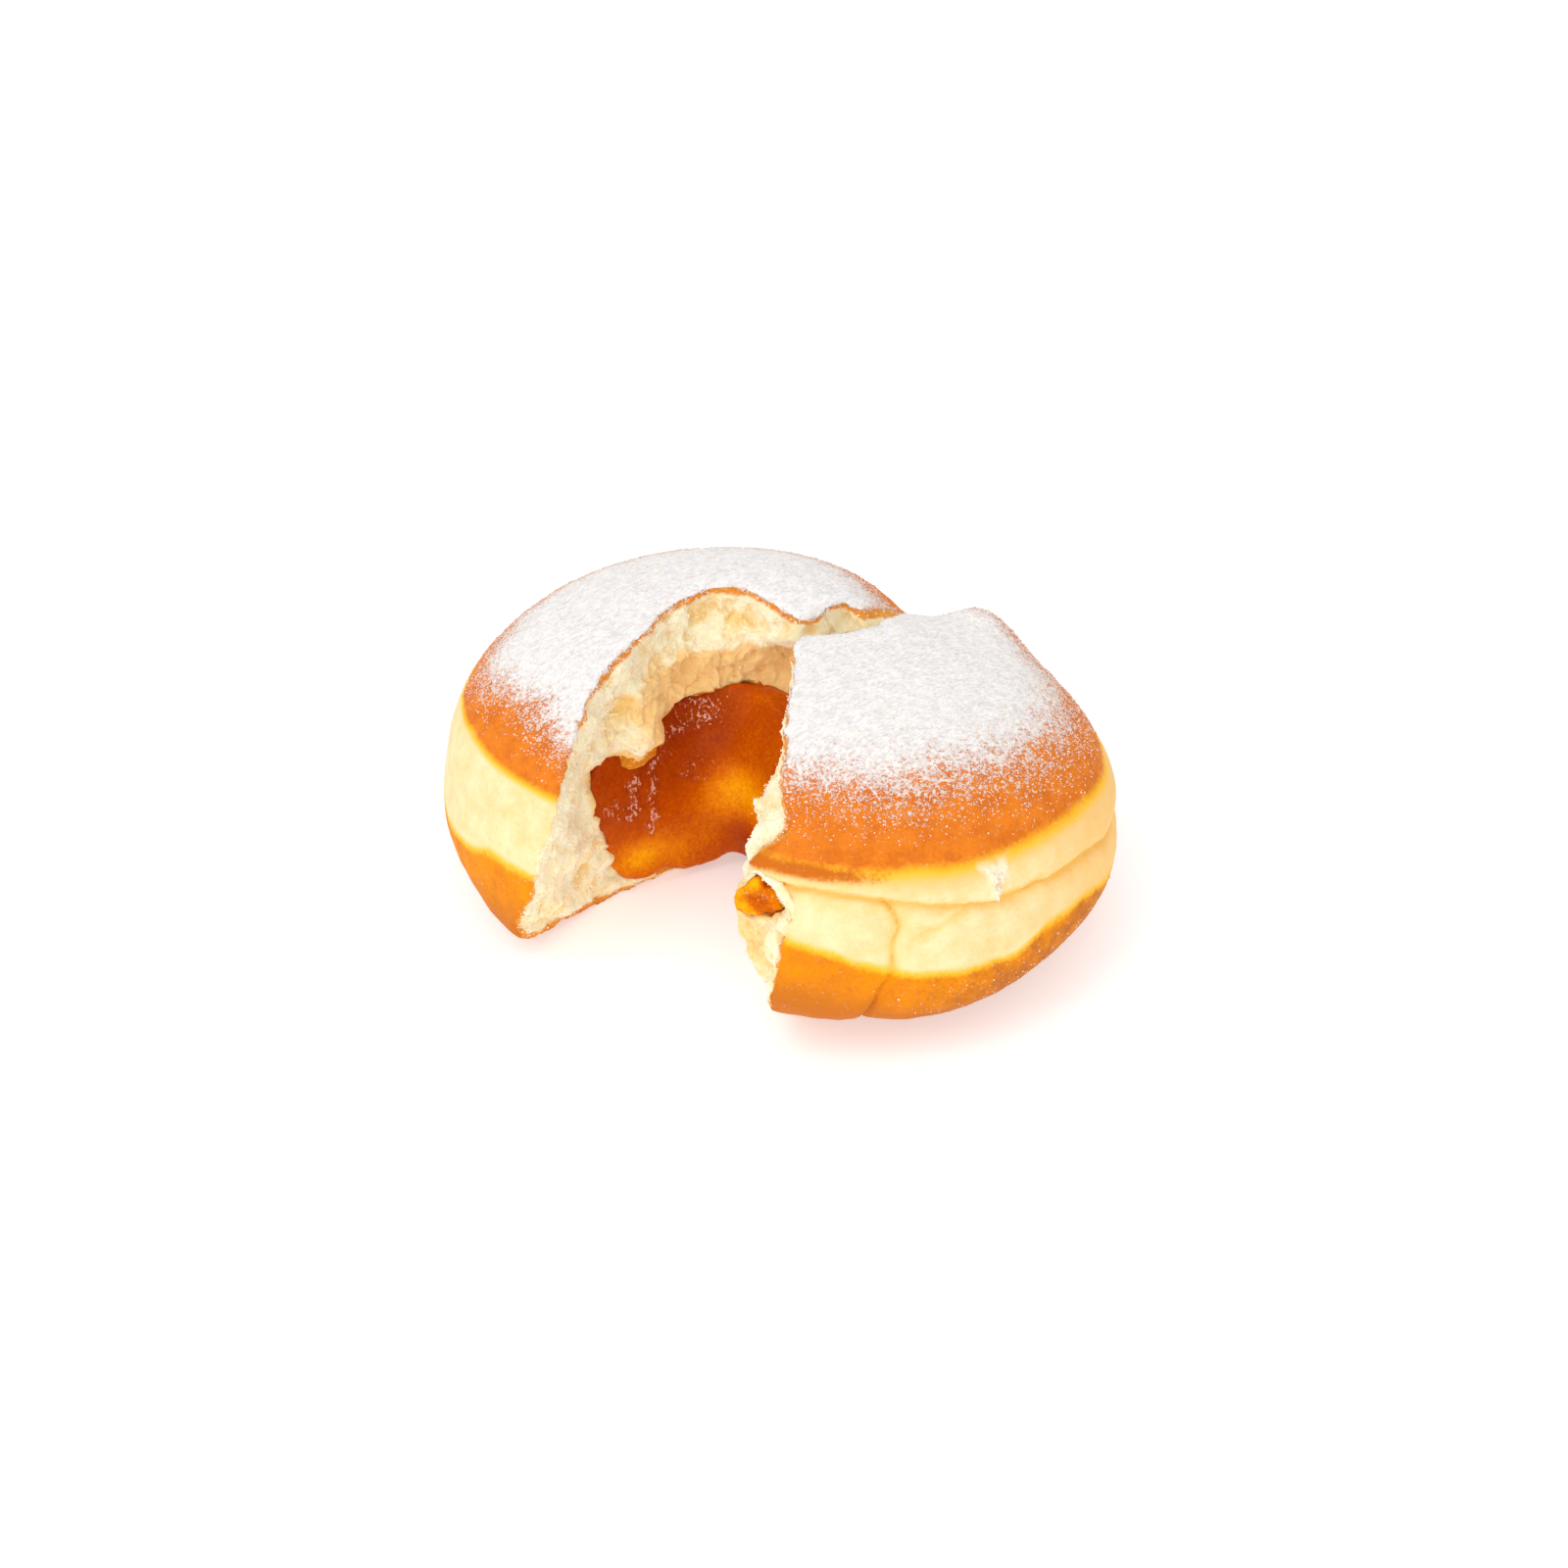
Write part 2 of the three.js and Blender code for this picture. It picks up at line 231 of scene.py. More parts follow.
def combine(item: bpy.types.Object, tool: bpy.types.Object, join: Join) -> bpy.types.Object:
    """Combines two solids and removes the second.

    Args:
        item: The solid that is kept.
        tool: The solid that is added or cut away.
        join: Which of the two.

    Returns:
        The first solid, changed.
    """
    modifier = item.modifiers.new("join", "BOOLEAN")
    modifier.operation = join.value
    modifier.object = tool
    modifier.solver = "EXACT"
    settle(item)
    drop(tool)
    return item


def even_out(item: bpy.types.Object, size: float) -> None:
    """Rebuilds a closed mesh from even squares of the given size.

    Args:
        item: The object to change.
        size: Width of the squares in millimetres.
    """
    modifier = item.modifiers.new("even", "REMESH")
    modifier.mode = "VOXEL"
    modifier.voxel_size = size
    modifier.use_smooth_shade = True
    settle(item)


def give(mesh: bpy.types.Mesh, values: dict[str, np.ndarray]) -> None:
    """Stores named rows of one number per vertex for the finish to read."""
    for name, row in values.items():
        attribute = mesh.attributes.new(name, "FLOAT", "POINT")
        attribute.data.foreach_set("value", row.astype(np.float32))


def stored(item: bpy.types.Object, name: str) -> np.ndarray:
    """Reads back one number per vertex."""
    values = np.empty(len(item.data.vertices), np.float32)
    item.data.attributes[name].data.foreach_get("value", values)
    return values.astype(float)


# --------------------------------------------------------------------------- shader graph


class Shade:
    """One value on its way through a shader, with arithmetic that adds Math nodes."""

    def __init__(self, graph: "Graph", socket: bpy.types.NodeSocket) -> None:
        """Wraps an output socket of the graph."""
        self.graph = graph
        self.socket = socket

    def math(self, operation: str, *others: "Shade | float") -> "Shade":
        """Adds a Math node with this value first."""
        inputs = dict(enumerate((self, *others)))
        return self.graph.node("ShaderNodeMath", {"operation": operation}, inputs)

    def __add__(self, other: "Shade | float") -> "Shade":
        """This value plus another."""
        return self.math("ADD", other)

    def __radd__(self, other: float) -> "Shade":
        """A number plus this value."""
        return self.math("ADD", other)

    def __sub__(self, other: "Shade | float") -> "Shade":
        """This value less another."""
        return self.math("SUBTRACT", other)

    def __rsub__(self, other: float) -> "Shade":
        """A number less this value."""
        return self.graph.node("ShaderNodeMath", {"operation": "SUBTRACT"}, {0: other, 1: self})

    def __mul__(self, other: "Shade | float") -> "Shade":
        """This value times another."""
        return self.math("MULTIPLY", other)

    def __rmul__(self, other: float) -> "Shade":
        """A number times this value."""
        return self.math("MULTIPLY", other)

    def maximum(self, other: "Shade | float") -> "Shade":
        """The larger of two values."""
        return self.math("MAXIMUM", other)

    def swing(self, strength: float) -> "Shade":
        """A value of 0 to 1, moved and scaled to swing round zero."""
        return (self - 0.5) * strength

    def band(self, low: float, high: float) -> "Shade":
        """Smooth step from 0 at low to 1 at high, which may run downwards.

        Args:
            low: Where the step starts.
            high: Where it ends.

        Returns:
            The step.
        """
        settings = {"interpolation_type": "SMOOTHSTEP"}
        inputs = {0: self, 1: low, 2: high, 3: 0.0, 4: 1.0}
        if low > high:
            inputs = {0: self, 1: high, 2: low, 3: 1.0, 4: 0.0}
        return self.graph.node("ShaderNodeMapRange", settings, inputs)


class Graph:
    """The node tree of one material."""

    def __init__(self, name: str) -> None:
        """Starts an empty material of that name."""
        self.material = bpy.data.materials.new(name)
        self.material.use_nodes = True
        self.tree = self.material.node_tree
        self.tree.nodes.clear()

    def node(
        self,
        kind: str,
        settings: dict[str, object] | None = None,
        inputs: dict[int | str, object] | None = None,
        output: int | str = 0,
    ) -> Shade:
        """Adds one node.

        Args:
            kind: The node's type.
            settings: Its own settings; "stops" are a ramp's places and colours.
            inputs: Values or links of its sockets, by place or name.
            output: Which of its outputs is wanted.

        Returns:
            The wanted output.
        """
        made = self.tree.nodes.new(kind)
        for key, value in (settings or {}).items():
            if key == "stops":
                self._set_stops(made.color_ramp, value)
            else:
                setattr(made, key, value)
        for key, value in (inputs or {}).items():
            if isinstance(value, Shade):
                self.tree.links.new(value.socket, made.inputs[key])
            else:
                made.inputs[key].default_value = value
        return Shade(self, made.outputs[output])

    @staticmethod
    def _set_stops(ramp: bpy.types.ColorRamp, stops: Iterable[tuple[float, tuple]]) -> None:
        """Fills a colour ramp with places and colours."""
        for index, (spot, colour) in enumerate(stops):
            stop = ramp.elements[index] if index < 2 else ramp.elements.new(spot)
            stop.position = spot
            stop.color = colour

    def attribute(self, name: str) -> Shade:
        """A number stored on the mesh."""
        return self.node("ShaderNodeAttribute", {"attribute_name": name}, output="Fac")

    def place(self) -> Shade:
        """The point on the object, in metres."""
        return self.node("ShaderNodeTexCoord", output="Object")

    def cloud(
        self, size: float, detail: float = 3.0, rough: float = 0.5, spot: Shade | None = None
    ) -> Shade:
        """Cloudy noise of about 0 to 1.

        Args:
            size: Width of the largest waves in millimetres.
            detail: How many finer copies are added.
            rough: How strong each finer copy is beside the one before.
            spot: Where it is read, if not at the plain point on the object.

        Returns:
            The noise.
        """
        inputs = {"Vector": spot or self.place(), "Scale": 1.0 / (size * MM)}
        inputs |= {"Detail": detail, "Roughness": rough}
        return self.node("ShaderNodeTexNoise", {"noise_dimensions": "3D"}, inputs)

    def cells(self, size: float) -> Shade:
        """A random number of 0 to 1 for each cell of the given size in millimetres."""
        inputs = {"Vector": self.place(), "Scale": 1.0 / (size * MM)}
        colour = self.node("ShaderNodeTexVoronoi", {"feature": "F1"}, inputs, "Color")
        return self.node("ShaderNodeSeparateColor", {}, {0: colour})

    def bump(self, height: Shade, strength: float, distance: float) -> Shade:
        """A normal that follows a height, whose full step is the distance in millimetres."""
        inputs = {"Strength": strength, "Distance": distance * MM, "Height": height}
        return self.node("ShaderNodeBump", {}, inputs)

    def shader(self, colour: Shade, roughness: Shade | float, extra: dict[str, object]) -> Shade:
        """A Principled shader with a colour, a roughness and further sockets."""
        inputs = {"Base Color": colour, "Roughness": roughness, **extra}
        return self.node("ShaderNodeBsdfPrincipled", {}, inputs)

    def mix(self, share: Shade, first: Shade | tuple, second: Shade | tuple) -> Shade:
        """A colour between two colours."""
        return self.node("ShaderNodeMix", {"data_type": "RGBA"}, {0: share, 6: first, 7: second}, 2)

    def ramp(self, value: Shade, stops: Iterable[tuple[float, tuple]]) -> Shade:
        """A colour read off a row of colours."""
        return self.node("ShaderNodeValToRGB", {"stops": list(stops)}, {0: value})

    def stretched(self, factors: tuple[float, float, float], turn: float = 0.0) -> Shade:
        """The point on the object, for a pattern stretched by the factors and turned about Z."""
        inputs = {"Vector": self.place(), "Scale": factors, "Rotation": (0.0, 0.0, turn)}
        return self.node("ShaderNodeMapping", {"vector_type": "TEXTURE"}, inputs)

    def finish(self, shader: Shade) -> bpy.types.Material:
        """Sends a shader to the material's surface."""
        output = self.tree.nodes.new("ShaderNodeOutputMaterial")
        self.tree.links.new(shader.socket, output.inputs["Surface"])
        return self.material


def tone(red: float, green: float, blue: float) -> tuple[float, float, float, float]:
    """A colour from screen values of 0 to 255, as the light values that a shader takes."""
    shares = (np.array([red, green, blue]) / 255.0 + 0.055) / 1.055
    return (*(float(share) ** 2.4 for share in shares), 1.0)


def seeping(
    weight: float, reach: tuple[float, float, float], scale: float, gloss: float
) -> dict[str, object]:
    """Sockets for light that seeps through.

    Args:
        weight: How much of the light does.
        reach: How far red, green and blue go, as shares of the scale.
        scale: The scale in millimetres.
        gloss: How strongly the surface shines.

    Returns:
        Values of a Principled shader's sockets.
    """
    return {
        "Subsurface Weight": weight,
        "Subsurface Radius": reach,
        "Subsurface Scale": scale * MM,
        "Specular IOR Level": gloss,
    }


# --------------------------------------------------------------------------- the bun


Knots = tuple[tuple[float, float], ...]
"""Pairs of an angle round the bun and the value there."""
BUN_RADIUS = 45.0


@dataclass(frozen=True)
class Half:
    """Where one torn half of the bun stands, how it is browned and where its sugar lies."""

    x: float
    y: float
    lean: float
    """Sideways lean in degrees."""
    phase: float
    """How far the bun's unevenness is turned, in radians."""
    top_edge: Knots
    """Height at which the brown of the top ends."""
    low_edge: Knots
    """Height at which the brown of the underside ends."""
    dense: Knots
    """Reach from the bun's axis out to which sugar lies dense."""
    bare: Knots
    """Reach at which there is no more sugar."""
    crisp: float = 1.0
    """How sharply the brown of the top ends."""
    tucked: float = 0.0
    """How far the underside is drawn in at the right, in millimetres."""

    def turned(self, places: np.ndarray, back: bool) -> np.ndarray:
        """Leans places over with the half, or back upright."""
        lean = math.radians(self.lean) * (-1 if back else 1)
        cosine, sine = math.cos(lean), math.sin(lean)
        x, y, z = places.T
        return np.stack([cosine * x + sine * z, y, cosine * z - sine * x], 1)


LEFT = Half(
    x=-11.1,
    y=3.1,
    lean=-2.1,
    phase=0.4,
    top_edge=((-2.9, 36.4), (-2.3, 37.4), (0.0, 36.5), (3.1, 35.2)),
    low_edge=(
        *((-2.85, 19.8), (-2.66, 21.6), (-2.5, 25.0), (-2.3, 24.8)),
        *((-1.8, 23.0), (1.0, 21.0), (3.0, 20.0)),
    ),
    dense=((-2.65, 25.0), (-2.3, 29.5), (0.0, 27.0), (3.1, 33.0)),
    bare=((-2.65, 36.5), (-2.3, 37.8), (0.0, 38.0), (3.1, 41.0)),
    crisp=1.7,
)
RIGHT = Half(
    x=7.2,
    y=-9.1,
    lean=5.3,
    phase=-0.21,
    top_edge=(
        *((-2.0, 36.8), (-1.0, 37.0), (-0.7, 37.3), (-0.4, 36.6)),
        *((-0.1, 34.6), (0.6, 34.8), (2.0, 36.0)),
    ),
    low_edge=(
        *((-1.8, 25.6), (-1.58, 23.8), (-1.4, 21.6), (-1.35, 20.4), (-0.9, 20.6), (-0.75, 23.4)),
        *((-0.5, 23.5), (-0.25, 20.6), (1.0, 21.5), (3.0, 23.5)),
    ),
    dense=((-1.9, 19.0), (-1.0, 15.5), (-0.5, 19.5), (-0.1, 25.0), (0.3, 29.0), (2.0, 29.0)),
    bare=((-1.9, 37.0), (-1.0, 37.0), (-0.4, 40.6), (0.0, 42.6), (0.6, 42.0), (2.0, 39.0)),
    tucked=3.0,
)


@dataclass(frozen=True)
class Bun:
    """The whole round bun before it was torn, in millimetres and radians."""

    radius: float = BUN_RADIUS
    equator: float = 19.1
    height: float = 49.0
    lower_fullness: float = 2.48
    upper_fullness: float = 2.46
    settle: float = 0.9
    """How far the bun's weight flattens it on the table."""
    lobes: tuple = ((2, 0.012, 0.9), (3, 0.010, 2.1), (5, 0.006, 0.3))
    """Unevenness round the bun: how many waves, how strong and where they start."""
    waist: tuple[float, float, float] = (27.0, 6.5, 0.7)
    """The slight waist at the pale ring: its height, half width and depth."""
    tuck_at: tuple[float, float] = (-0.42, 0.48)
    tuck_fade: tuple[float, float] = (8.0, 22.0)
    pressed: tuple = ((25, 23, 9.2, 4.5), (33.2, 18, 7.6, -5.2), (3, 6, 5, 1.2), (-3, 21, 15, -1.5))
    """Dimples in the crown: where, how wide and how deep; a bump is less than zero."""
    crown: tuple[float, float] = (12.0, 40.0)
    """Heights over which the dimples fade in."""
    sagging: tuple = ((-43.5, -23.0, 9.0, 2.8),)
    """The torn foot of the left half: where, how wide and how far it sinks."""
    foot: tuple[float, float] = (10.0, 28.0)
    """Heights over which the sinking fades out."""
    segments: tuple[int, int] = (240, 130)

    def make(self, half: Half) -> bpy.types.Object:
        """The closed skin of the bun where the given half stands.

        Args:
            half: The half to place it for.

        Returns:
            A closed object.
        """
        shape = bmesh.new()
        columns, rows = self.segments
        bmesh.ops.create_uvsphere(shape, u_segments=columns, v_segments=rows, radius=1.0)
        reshape(shape, lambda places: self.stand(self.swell(places, half), half))
        return from_bmesh("bun", shape)

    def swell(self, directions: np.ndarray, half: Half) -> np.ndarray:
        """Blows a unit ball up to the bun.

        Args:
            directions: Places on the unit ball.
            half: The half whose unevenness it gets.

        Returns:
            Places on the bun, standing upright round the Z axis.
        """
        slope = np.arcsin(np.clip(directions[:, 2], -1.0, 1.0))
        angle = bearing(directions)
        fullness = np.where(slope < 0, self.lower_fullness, self.upper_fullness)
        depth = np.where(slope < 0, self.equator, self.height - self.equator)
        reach = self.radius * np.abs(np.cos(slope)) ** (2 / fullness)
        level = self.equator + np.sign(slope) * depth * np.abs(np.sin(slope)) ** (2 / fullness)
        middle, half_width, deep = self.waist
        dent = deep * hump(level, middle, half_width) * (reach / self.radius) ** 4
        dent += half.tucked * hump(angle, *self.tuck_at) * (1 - rise(level, *self.tuck_fade))
        reach *= self.unevenness(angle, half) * (1 - dent / self.radius)
        return np.stack([reach * np.cos(angle), reach * np.sin(angle), level], 1)

    def unevenness(self, angle: np.ndarray, half: Half) -> np.ndarray:
        """Factor on the radius at each angle round the bun."""
        turned = angle - half.phase
        return 1 + sum(share * np.sin(waves * turned + start) for waves, share, start in self.lobes)

    def stand(self, places: np.ndarray, half: Half) -> np.ndarray:
        """Leans an upright bun over and puts it where the half stands."""
        moved = half.turned(places, back=False) + np.array([half.x, half.y, -self.settle])
        moved[:, 2] -= self.sunken(moved)
        return moved

    @staticmethod
    def dimples(places: np.ndarray, spots: tuple) -> np.ndarray:
        """Depth of a few round dimples at each place."""
        total = np.zeros(len(places))
        for x, y, reach, deep in spots:
            total += deep * hump(np.hypot(places[:, 0] - x, places[:, 1] - y), 0.0, reach)
        return total

    def sunken(self, places: np.ndarray) -> np.ndarray:
        """How far the crown is pressed down and the torn foot has sunk at each place."""
        sag = self.dimples(places, self.sagging) * (1 - rise(places[:, 2], *self.foot))
        return self.dimples(places, self.pressed) * rise(places[:, 2], *self.crown) + sag

    def upright(self, places: np.ndarray, half: Half) -> np.ndarray:
        """Undoes the stand of a half: where each place was in the upright bun."""
        lifted = places - np.array([half.x, half.y, -self.settle])
        lifted[:, 2] += self.sunken(places)
        return half.turned(lifted, back=True)


@dataclass(frozen=True)
class Folds:
    """The fold, lip and crack in the skin at the front of the right half, by angle and level."""

    fold: tuple = (
        *((-2.2, 34.6), (-1.83, 34.4), (-1.5, 33.9), (-1.3, 32.8), (-0.98, 30.8)),
        *((-0.8, 31.5), (-0.47, 30.4), (-0.27, 28.2), (0.1, 27.0), (1.0, 27.0)),
    )
    crack: tuple = (
        *((8.0, -1.47), (12.8, -1.45), (18.0, -1.43), (21.2, -1.39), (25.7, -1.395)),
        *((28.4, -1.37), (31.2, -1.4), (33.3, -1.44), (40.0, -1.5)),
    )
    lip_start: tuple[float, float] = (-2.35, -2.2)
    """Angles over which the lip above the fold begins."""
    lip_end: float = -0.975
    """Angle at which it is torn off."""
    lip_break: tuple[float, float] = (-0.008, 0.008)
    """Angles from there over which it ends."""
    lip_hang: tuple = ((-13.0, -3.0), (-0.25, 0.25))
    """Heights from the fold over which the skin under the lip is drawn in."""
    fold_end: tuple[float, float] = (0.1, 0.9)
    """Angles over which the fold fades out at the side."""
    scar_end: tuple[float, float] = (0.0, 0.28)
    """Angles from the lip's end over which the hollow that it left fades out."""
    branch_slope: float = 24.0
    branch_start: tuple[float, float] = (-1.18, -3.2)
    """Angle, and height from the fold, that the crack's short branch passes."""
    branch_ends: tuple = ((-1.36, -1.3), (-1.12, -1.06))
    foot: tuple[float, float] = (13.0, 19.0)
    """Heights over which the crack gets deeper towards the table."""
    lip_depth: float = 1.5
    scar_depth: float = 1.9
    fold_depth: float = 1.0
    soft_depth: float = 0.8
    swelling: float = 0.45
    crack_depth: float = 0.75
    step_depth: float = 0.5
    branch_depth: float = 0.4

    def measure(
        self, angle: np.ndarray, level: np.ndarray, places: np.ndarray
    ) -> tuple[np.ndarray, np.ndarray]:
        """Dents of the skin and how much each place lies in a fold.

        Args:
            angle: Angle of each place round the upright bun.
            level: Height of each place in the upright bun.
            places: The places themselves, for unevenness.

        Returns:
            How deep each place is pressed in, and 0 to 1 for how far it is in a fold.
        """
        wander = 0.35 * swirl(places, 3.0, 2, 4.9)
        above = level - around(angle, *self.fold) - wander
        past = angle - self.lip_end - 0.02 * swirl(places, 1.8, 2, 12.1)
        lip = rise(angle, *self.lip_start) * (1 - rise(past, *self.lip_break))
        right = rise(past, *self.lip_break) * (1 - rise(angle, *self.fold_end))
        scar = between(past, self.lip_break, self.scar_end) * hump(above, 2.0, 3.2)
        line, soft = hump(above, -0.5, 0.55), hump(above, -0.6, 1.7)
        dent = self.lip_depth * lip * between(above, *self.lip_hang) + self.scar_depth * scar
        dent += (self.fold_depth * line + self.soft_depth * soft) * (0.55 * lip + 0.8 * right)
        dent -= self.swelling * hump(above, 3.0, 2.6) * (lip + right)
        off = (angle - np.interp(level, *zip(*self.crack))) * BUN_RADIUS + 0.5 * wander
        below = 1 - rise(above, -1.5, 0.5)
        split = hump(off, 0.0, 0.6) * below
        low = 1 - rise(level, *self.foot)
        valley = hump(off, 0.6, 4.5) * below
        dent += self.crack_depth * (split * (0.55 + 0.8 * low) + valley * (1 - 0.5 * low))
        dent += self.step_depth * np.where(off > 0, np.exp(-np.maximum(off, 0) / 5.0), 0.0) * below
        start, rest = self.branch_start
        run = above - rest - self.branch_slope * (angle - start)
        branch = hump(run, 0.0, 0.7) * between(angle, *self.branch_ends)
        dent += self.branch_depth * branch
        # Painted shade in the groove under the lip, in the crack and beside it, partly the crease's own
        # deeper tone.
        mark = line * (0.75 * lip + 0.8 * right) + 0.6 * split + 0.3 * soft * (0.6 * lip + right)
        mark += 0.5 * branch + 0.35 * hump(off, 0.4, 2.0) * below
        return dent, np.clip(mark - 0.4 * scar * (1 - line), 0, 1)


@dataclass(frozen=True)
class Tear:
    """A torn face: smooth edges at a few heights, each from the front to the join."""

    heights: tuple[float, ...]
    edges: tuple[tuple[tuple[float, float], ...], ...]
    away: tuple[float, float]
    """Where the block behind the face reaches to."""
    rough: float = 0.55
    below: float = -3.0
    """How far under the table the block starts."""
    squares: tuple[int, int] = (150, 54)
    batch: int = 512
    """How many places are worked out at a time, to save memory."""

    def face(self, share: np.ndarray, height: np.ndarray) -> np.ndarray:
        """Places on the torn face.

        Args:
            share: How far from the front to the join, 0 to 1.
            height: Height above the table.

        Returns:
            One place for each pair.
        """
        level = np.interp(height, self.heights, np.linspace(0.0, 1.0, len(self.heights)))
        edges = np.stack([spline(np.array(edge, float), share) for edge in self.edges])
        columns = spline(edges, level)
        spots = columns[np.arange(len(share)), np.arange(len(share))]
        return np.column_stack([spots, height])

    def block(self) -> bpy.types.Object:
        """A closed block whose near face is the torn face."""
        columns, rows = self.squares
        shape = bmesh.new()
        bmesh.ops.create_grid(shape, x_segments=columns, y_segments=rows, size=1.0)
        reshape(shape, self._onto_face)
        near = list(shape.faces)
        pulled = bmesh.ops.extrude_face_region(shape, geom=near, use_keep_orig=True)
        moved = [item for item in pulled["geom"] if isinstance(item, bmesh.types.BMVert)]
        bmesh.ops.translate(shape, verts=moved, vec=(*self.away, 0.0))
        return from_bmesh("tear", shape)

    def _onto_face(self, places: np.ndarray) -> np.ndarray:
        """Lays a flat square grid onto the torn face and roughens it.

        Args:
            places: Places on a grid of -1 to 1.

        Returns:
            Places on the torn face.
        """
        share = (places[:, 0] + 1) / 2
        top = self.heights[-1]
        height = self.below + (places[:, 1] + 1) / 2 * (top - self.below)
        face = np.empty((len(share), 3))
        for start in range(0, len(share), self.batch):
            part = slice(start, start + self.batch)
            face[part] = self.face(share[part], np.clip(height[part], 0.0, top))
        face[:, 2] = height
        bump = self.rough * (swirl(face, 7.0, 2, 3.1) + 0.8 * swirl(face, 2.2, 3, 9.4))
        bump *= 1 - rise(share, 0.85, 1.0)
        face[:, 0] += bump
        face[:, 1] -= bump
        return face


JOIN = (26.0, 24.0)
LEFT_TEAR = Tear(
    heights=(0, 9, 16, 22, 28, 34, 39, 44, 54),
    edges=(
        ((-56, -18), (-43.4, -21.4), (-36.6, -15.7), (-31.6, -10), (-25.2, -4.4), (-19, -0.6),
         (-12.5, 3), (-5, 7.5), (3, 12), (10, 14), (17, 17), JOIN),
        ((-56, -27), (-44.6, -27.6), (-37, -19.6), (-33, -12.5), (-27, -7), (-20, -1), (-12, 4.5),
         (-5, 7.5), (4, 9.5), (10, 11.5), (17, 15), JOIN),
        ((-56, -31), (-44, -31.5), (-37.5, -24), (-33.8, -16.5), (-30.5, -10), (-23, -4), (-13, 3),
         (-6, 6), (3, 8.5), (10, 10.5), (17, 14.5), JOIN),
        ((-56, -33), (-42.5, -33), (-37, -26.5), (-34.3, -18), (-32.3, -10.5), (-26, -5), (-15, 2.5),
         (-7, 6), (3, 8), (10, 10.5), (17, 14), JOIN),
        ((-56, -33), (-41, -33.5), (-36.6, -27.5), (-34.5, -18.5), (-32.4, -10.5), (-26, -4.5),
         (-16, 2.5), (-8, 6), (3, 8), (10, 10.5), (17, 14), JOIN),
        ((-56, -34), (-38, -34), (-35.9, -28), (-34.2, -19.5), (-31.8, -11), (-25.5, -3.5),
         (-17.5, 3.2), (-9, 7), (3, 7.5), (10, 10.5), (17, 13), JOIN),
        ((-52, -34), (-36.5, -31), (-34.3, -24.5), (-32.3, -16.5), (-29.4, -8.5), (-24.6, -1.8),
         (-18, 5.5), (-9.5, 9.8), (2.5, 7), (10, 11), (15, 10.5), JOIN),
        ((-50, -32), (-34.5, -27.5), (-33, -20), (-31.3, -12.8), (-27.9, -6), (-23.9, 0), (-18.5, 8),
         (-9.5, 13), (3, 6.4), (9.5, 12.3), (14, 9.3), JOIN),
        ((-50, -31), (-34, -27), (-32.5, -19), (-30.8, -12), (-27.5, -5.5), (-23.5, 0.7), (-18, 9),
         (-9.2, 14), (3, 6.4), (9.5, 12.3), (14, 9.3), JOIN),
    ),
    away=(0.0, -120.0),
)
RIGHT_TEAR = Tear(
    heights=(0, 12, 19, 25, 30, 33, 36, 39.5, 44, 54),
    edges=(
        ((-0.6, -62), (-0.8, -50), (-0.6, -45), (-0.8, -39), (-0.6, -32), (2, -22), (8, -10), (13, 0),
         (19, 11), JOIN),
        ((-1.6, -62), (-2.2, -51), (-2.6, -46), (-3, -40), (-2.4, -32), (1.5, -22), (7, -10), (12, 0),
         (18, 10), JOIN),
        ((0.5, -62), (-0.6, -53), (-3.6, -47), (-5.8, -42), (-4.8, -33), (1, -22), (7, -10), (11, 0),
         (17.5, 9.5), JOIN),
        ((0.5, -62), (0.5, -52.6), (-3, -47), (-7, -42), (-6, -33.5), (1, -22), (5, -10), (9.5, 0),
         (17, 9), JOIN),
        ((0.5, -62), (0.8, -51.5), (-0.6, -46.6), (-5.2, -41), (-5, -32), (1, -22), (3.5, -10), (8, 0),
         (15, 8), JOIN),
        ((-2, -62), (-1.6, -50), (-2.4, -45.8), (-4.8, -40.5), (-4.6, -31), (1.2, -22), (3.5, -10),
         (7, 0), (14, 8), JOIN),
        ((-6, -62), (-5.9, -47), (-5.6, -44), (-5, -39), (-4.2, -29.5), (1.2, -23), (3, -10), (5.5, 0),
         (13.5, 8), JOIN),
        ((0.5, -62), (0.7, -44.5), (0.2, -41.5), (-1.2, -37), (-2.2, -29), (1.0, -22.5), (2, -10),
         (4, 0), (13.5, 7), JOIN),
        ((0.5, -62), (0.3, -43), (-0.2, -38), (-0.6, -35), (-0.2, -29), (0.3, -21), (1.5, -10), (3, -1),
         (14.5, 5.5), JOIN),
        ((0.5, -62), (0.3, -42), (-0.3, -36), (0, -31), (0.3, -25), (1, -18), (2.2, -8), (3.1, -0.5),
         (15, 5.2), JOIN),
    ),
    away=(-120.0, 0.0),
)


@dataclass(frozen=True)
class Lobe:
    """One ball-like part of the jelly or of the hollow it lies in."""

    middle: tuple[float, float, float]
    half_sizes: tuple[float, float, float]
    turn: float = 0.0
    segments: tuple[int, int] = (72, 48)

    def make(self, grown: float) -> bpy.types.Object:
        """The lobe as a closed object, grown all round.

        Args:
            grown: How far it is grown, in millimetres.

        Returns:
            A closed object.
        """
        shape = bmesh.new()
        columns, rows = self.segments
        bmesh.ops.create_uvsphere(shape, u_segments=columns, v_segments=rows, radius=1.0)
        turn = math.radians(self.turn)
        cosine, sine = math.cos(turn), math.sin(turn)

        def lay(places: np.ndarray) -> np.ndarray:
            """Stretches, turns and moves the ball."""
            x, y, z = (places * (np.array(self.half_sizes) + grown)).T
            return np.stack([cosine * x - sine * y, sine * x + cosine * y, z], 1) + np.array(self.middle)

        reshape(shape, lay)
        return from_bmesh("lobe", shape)


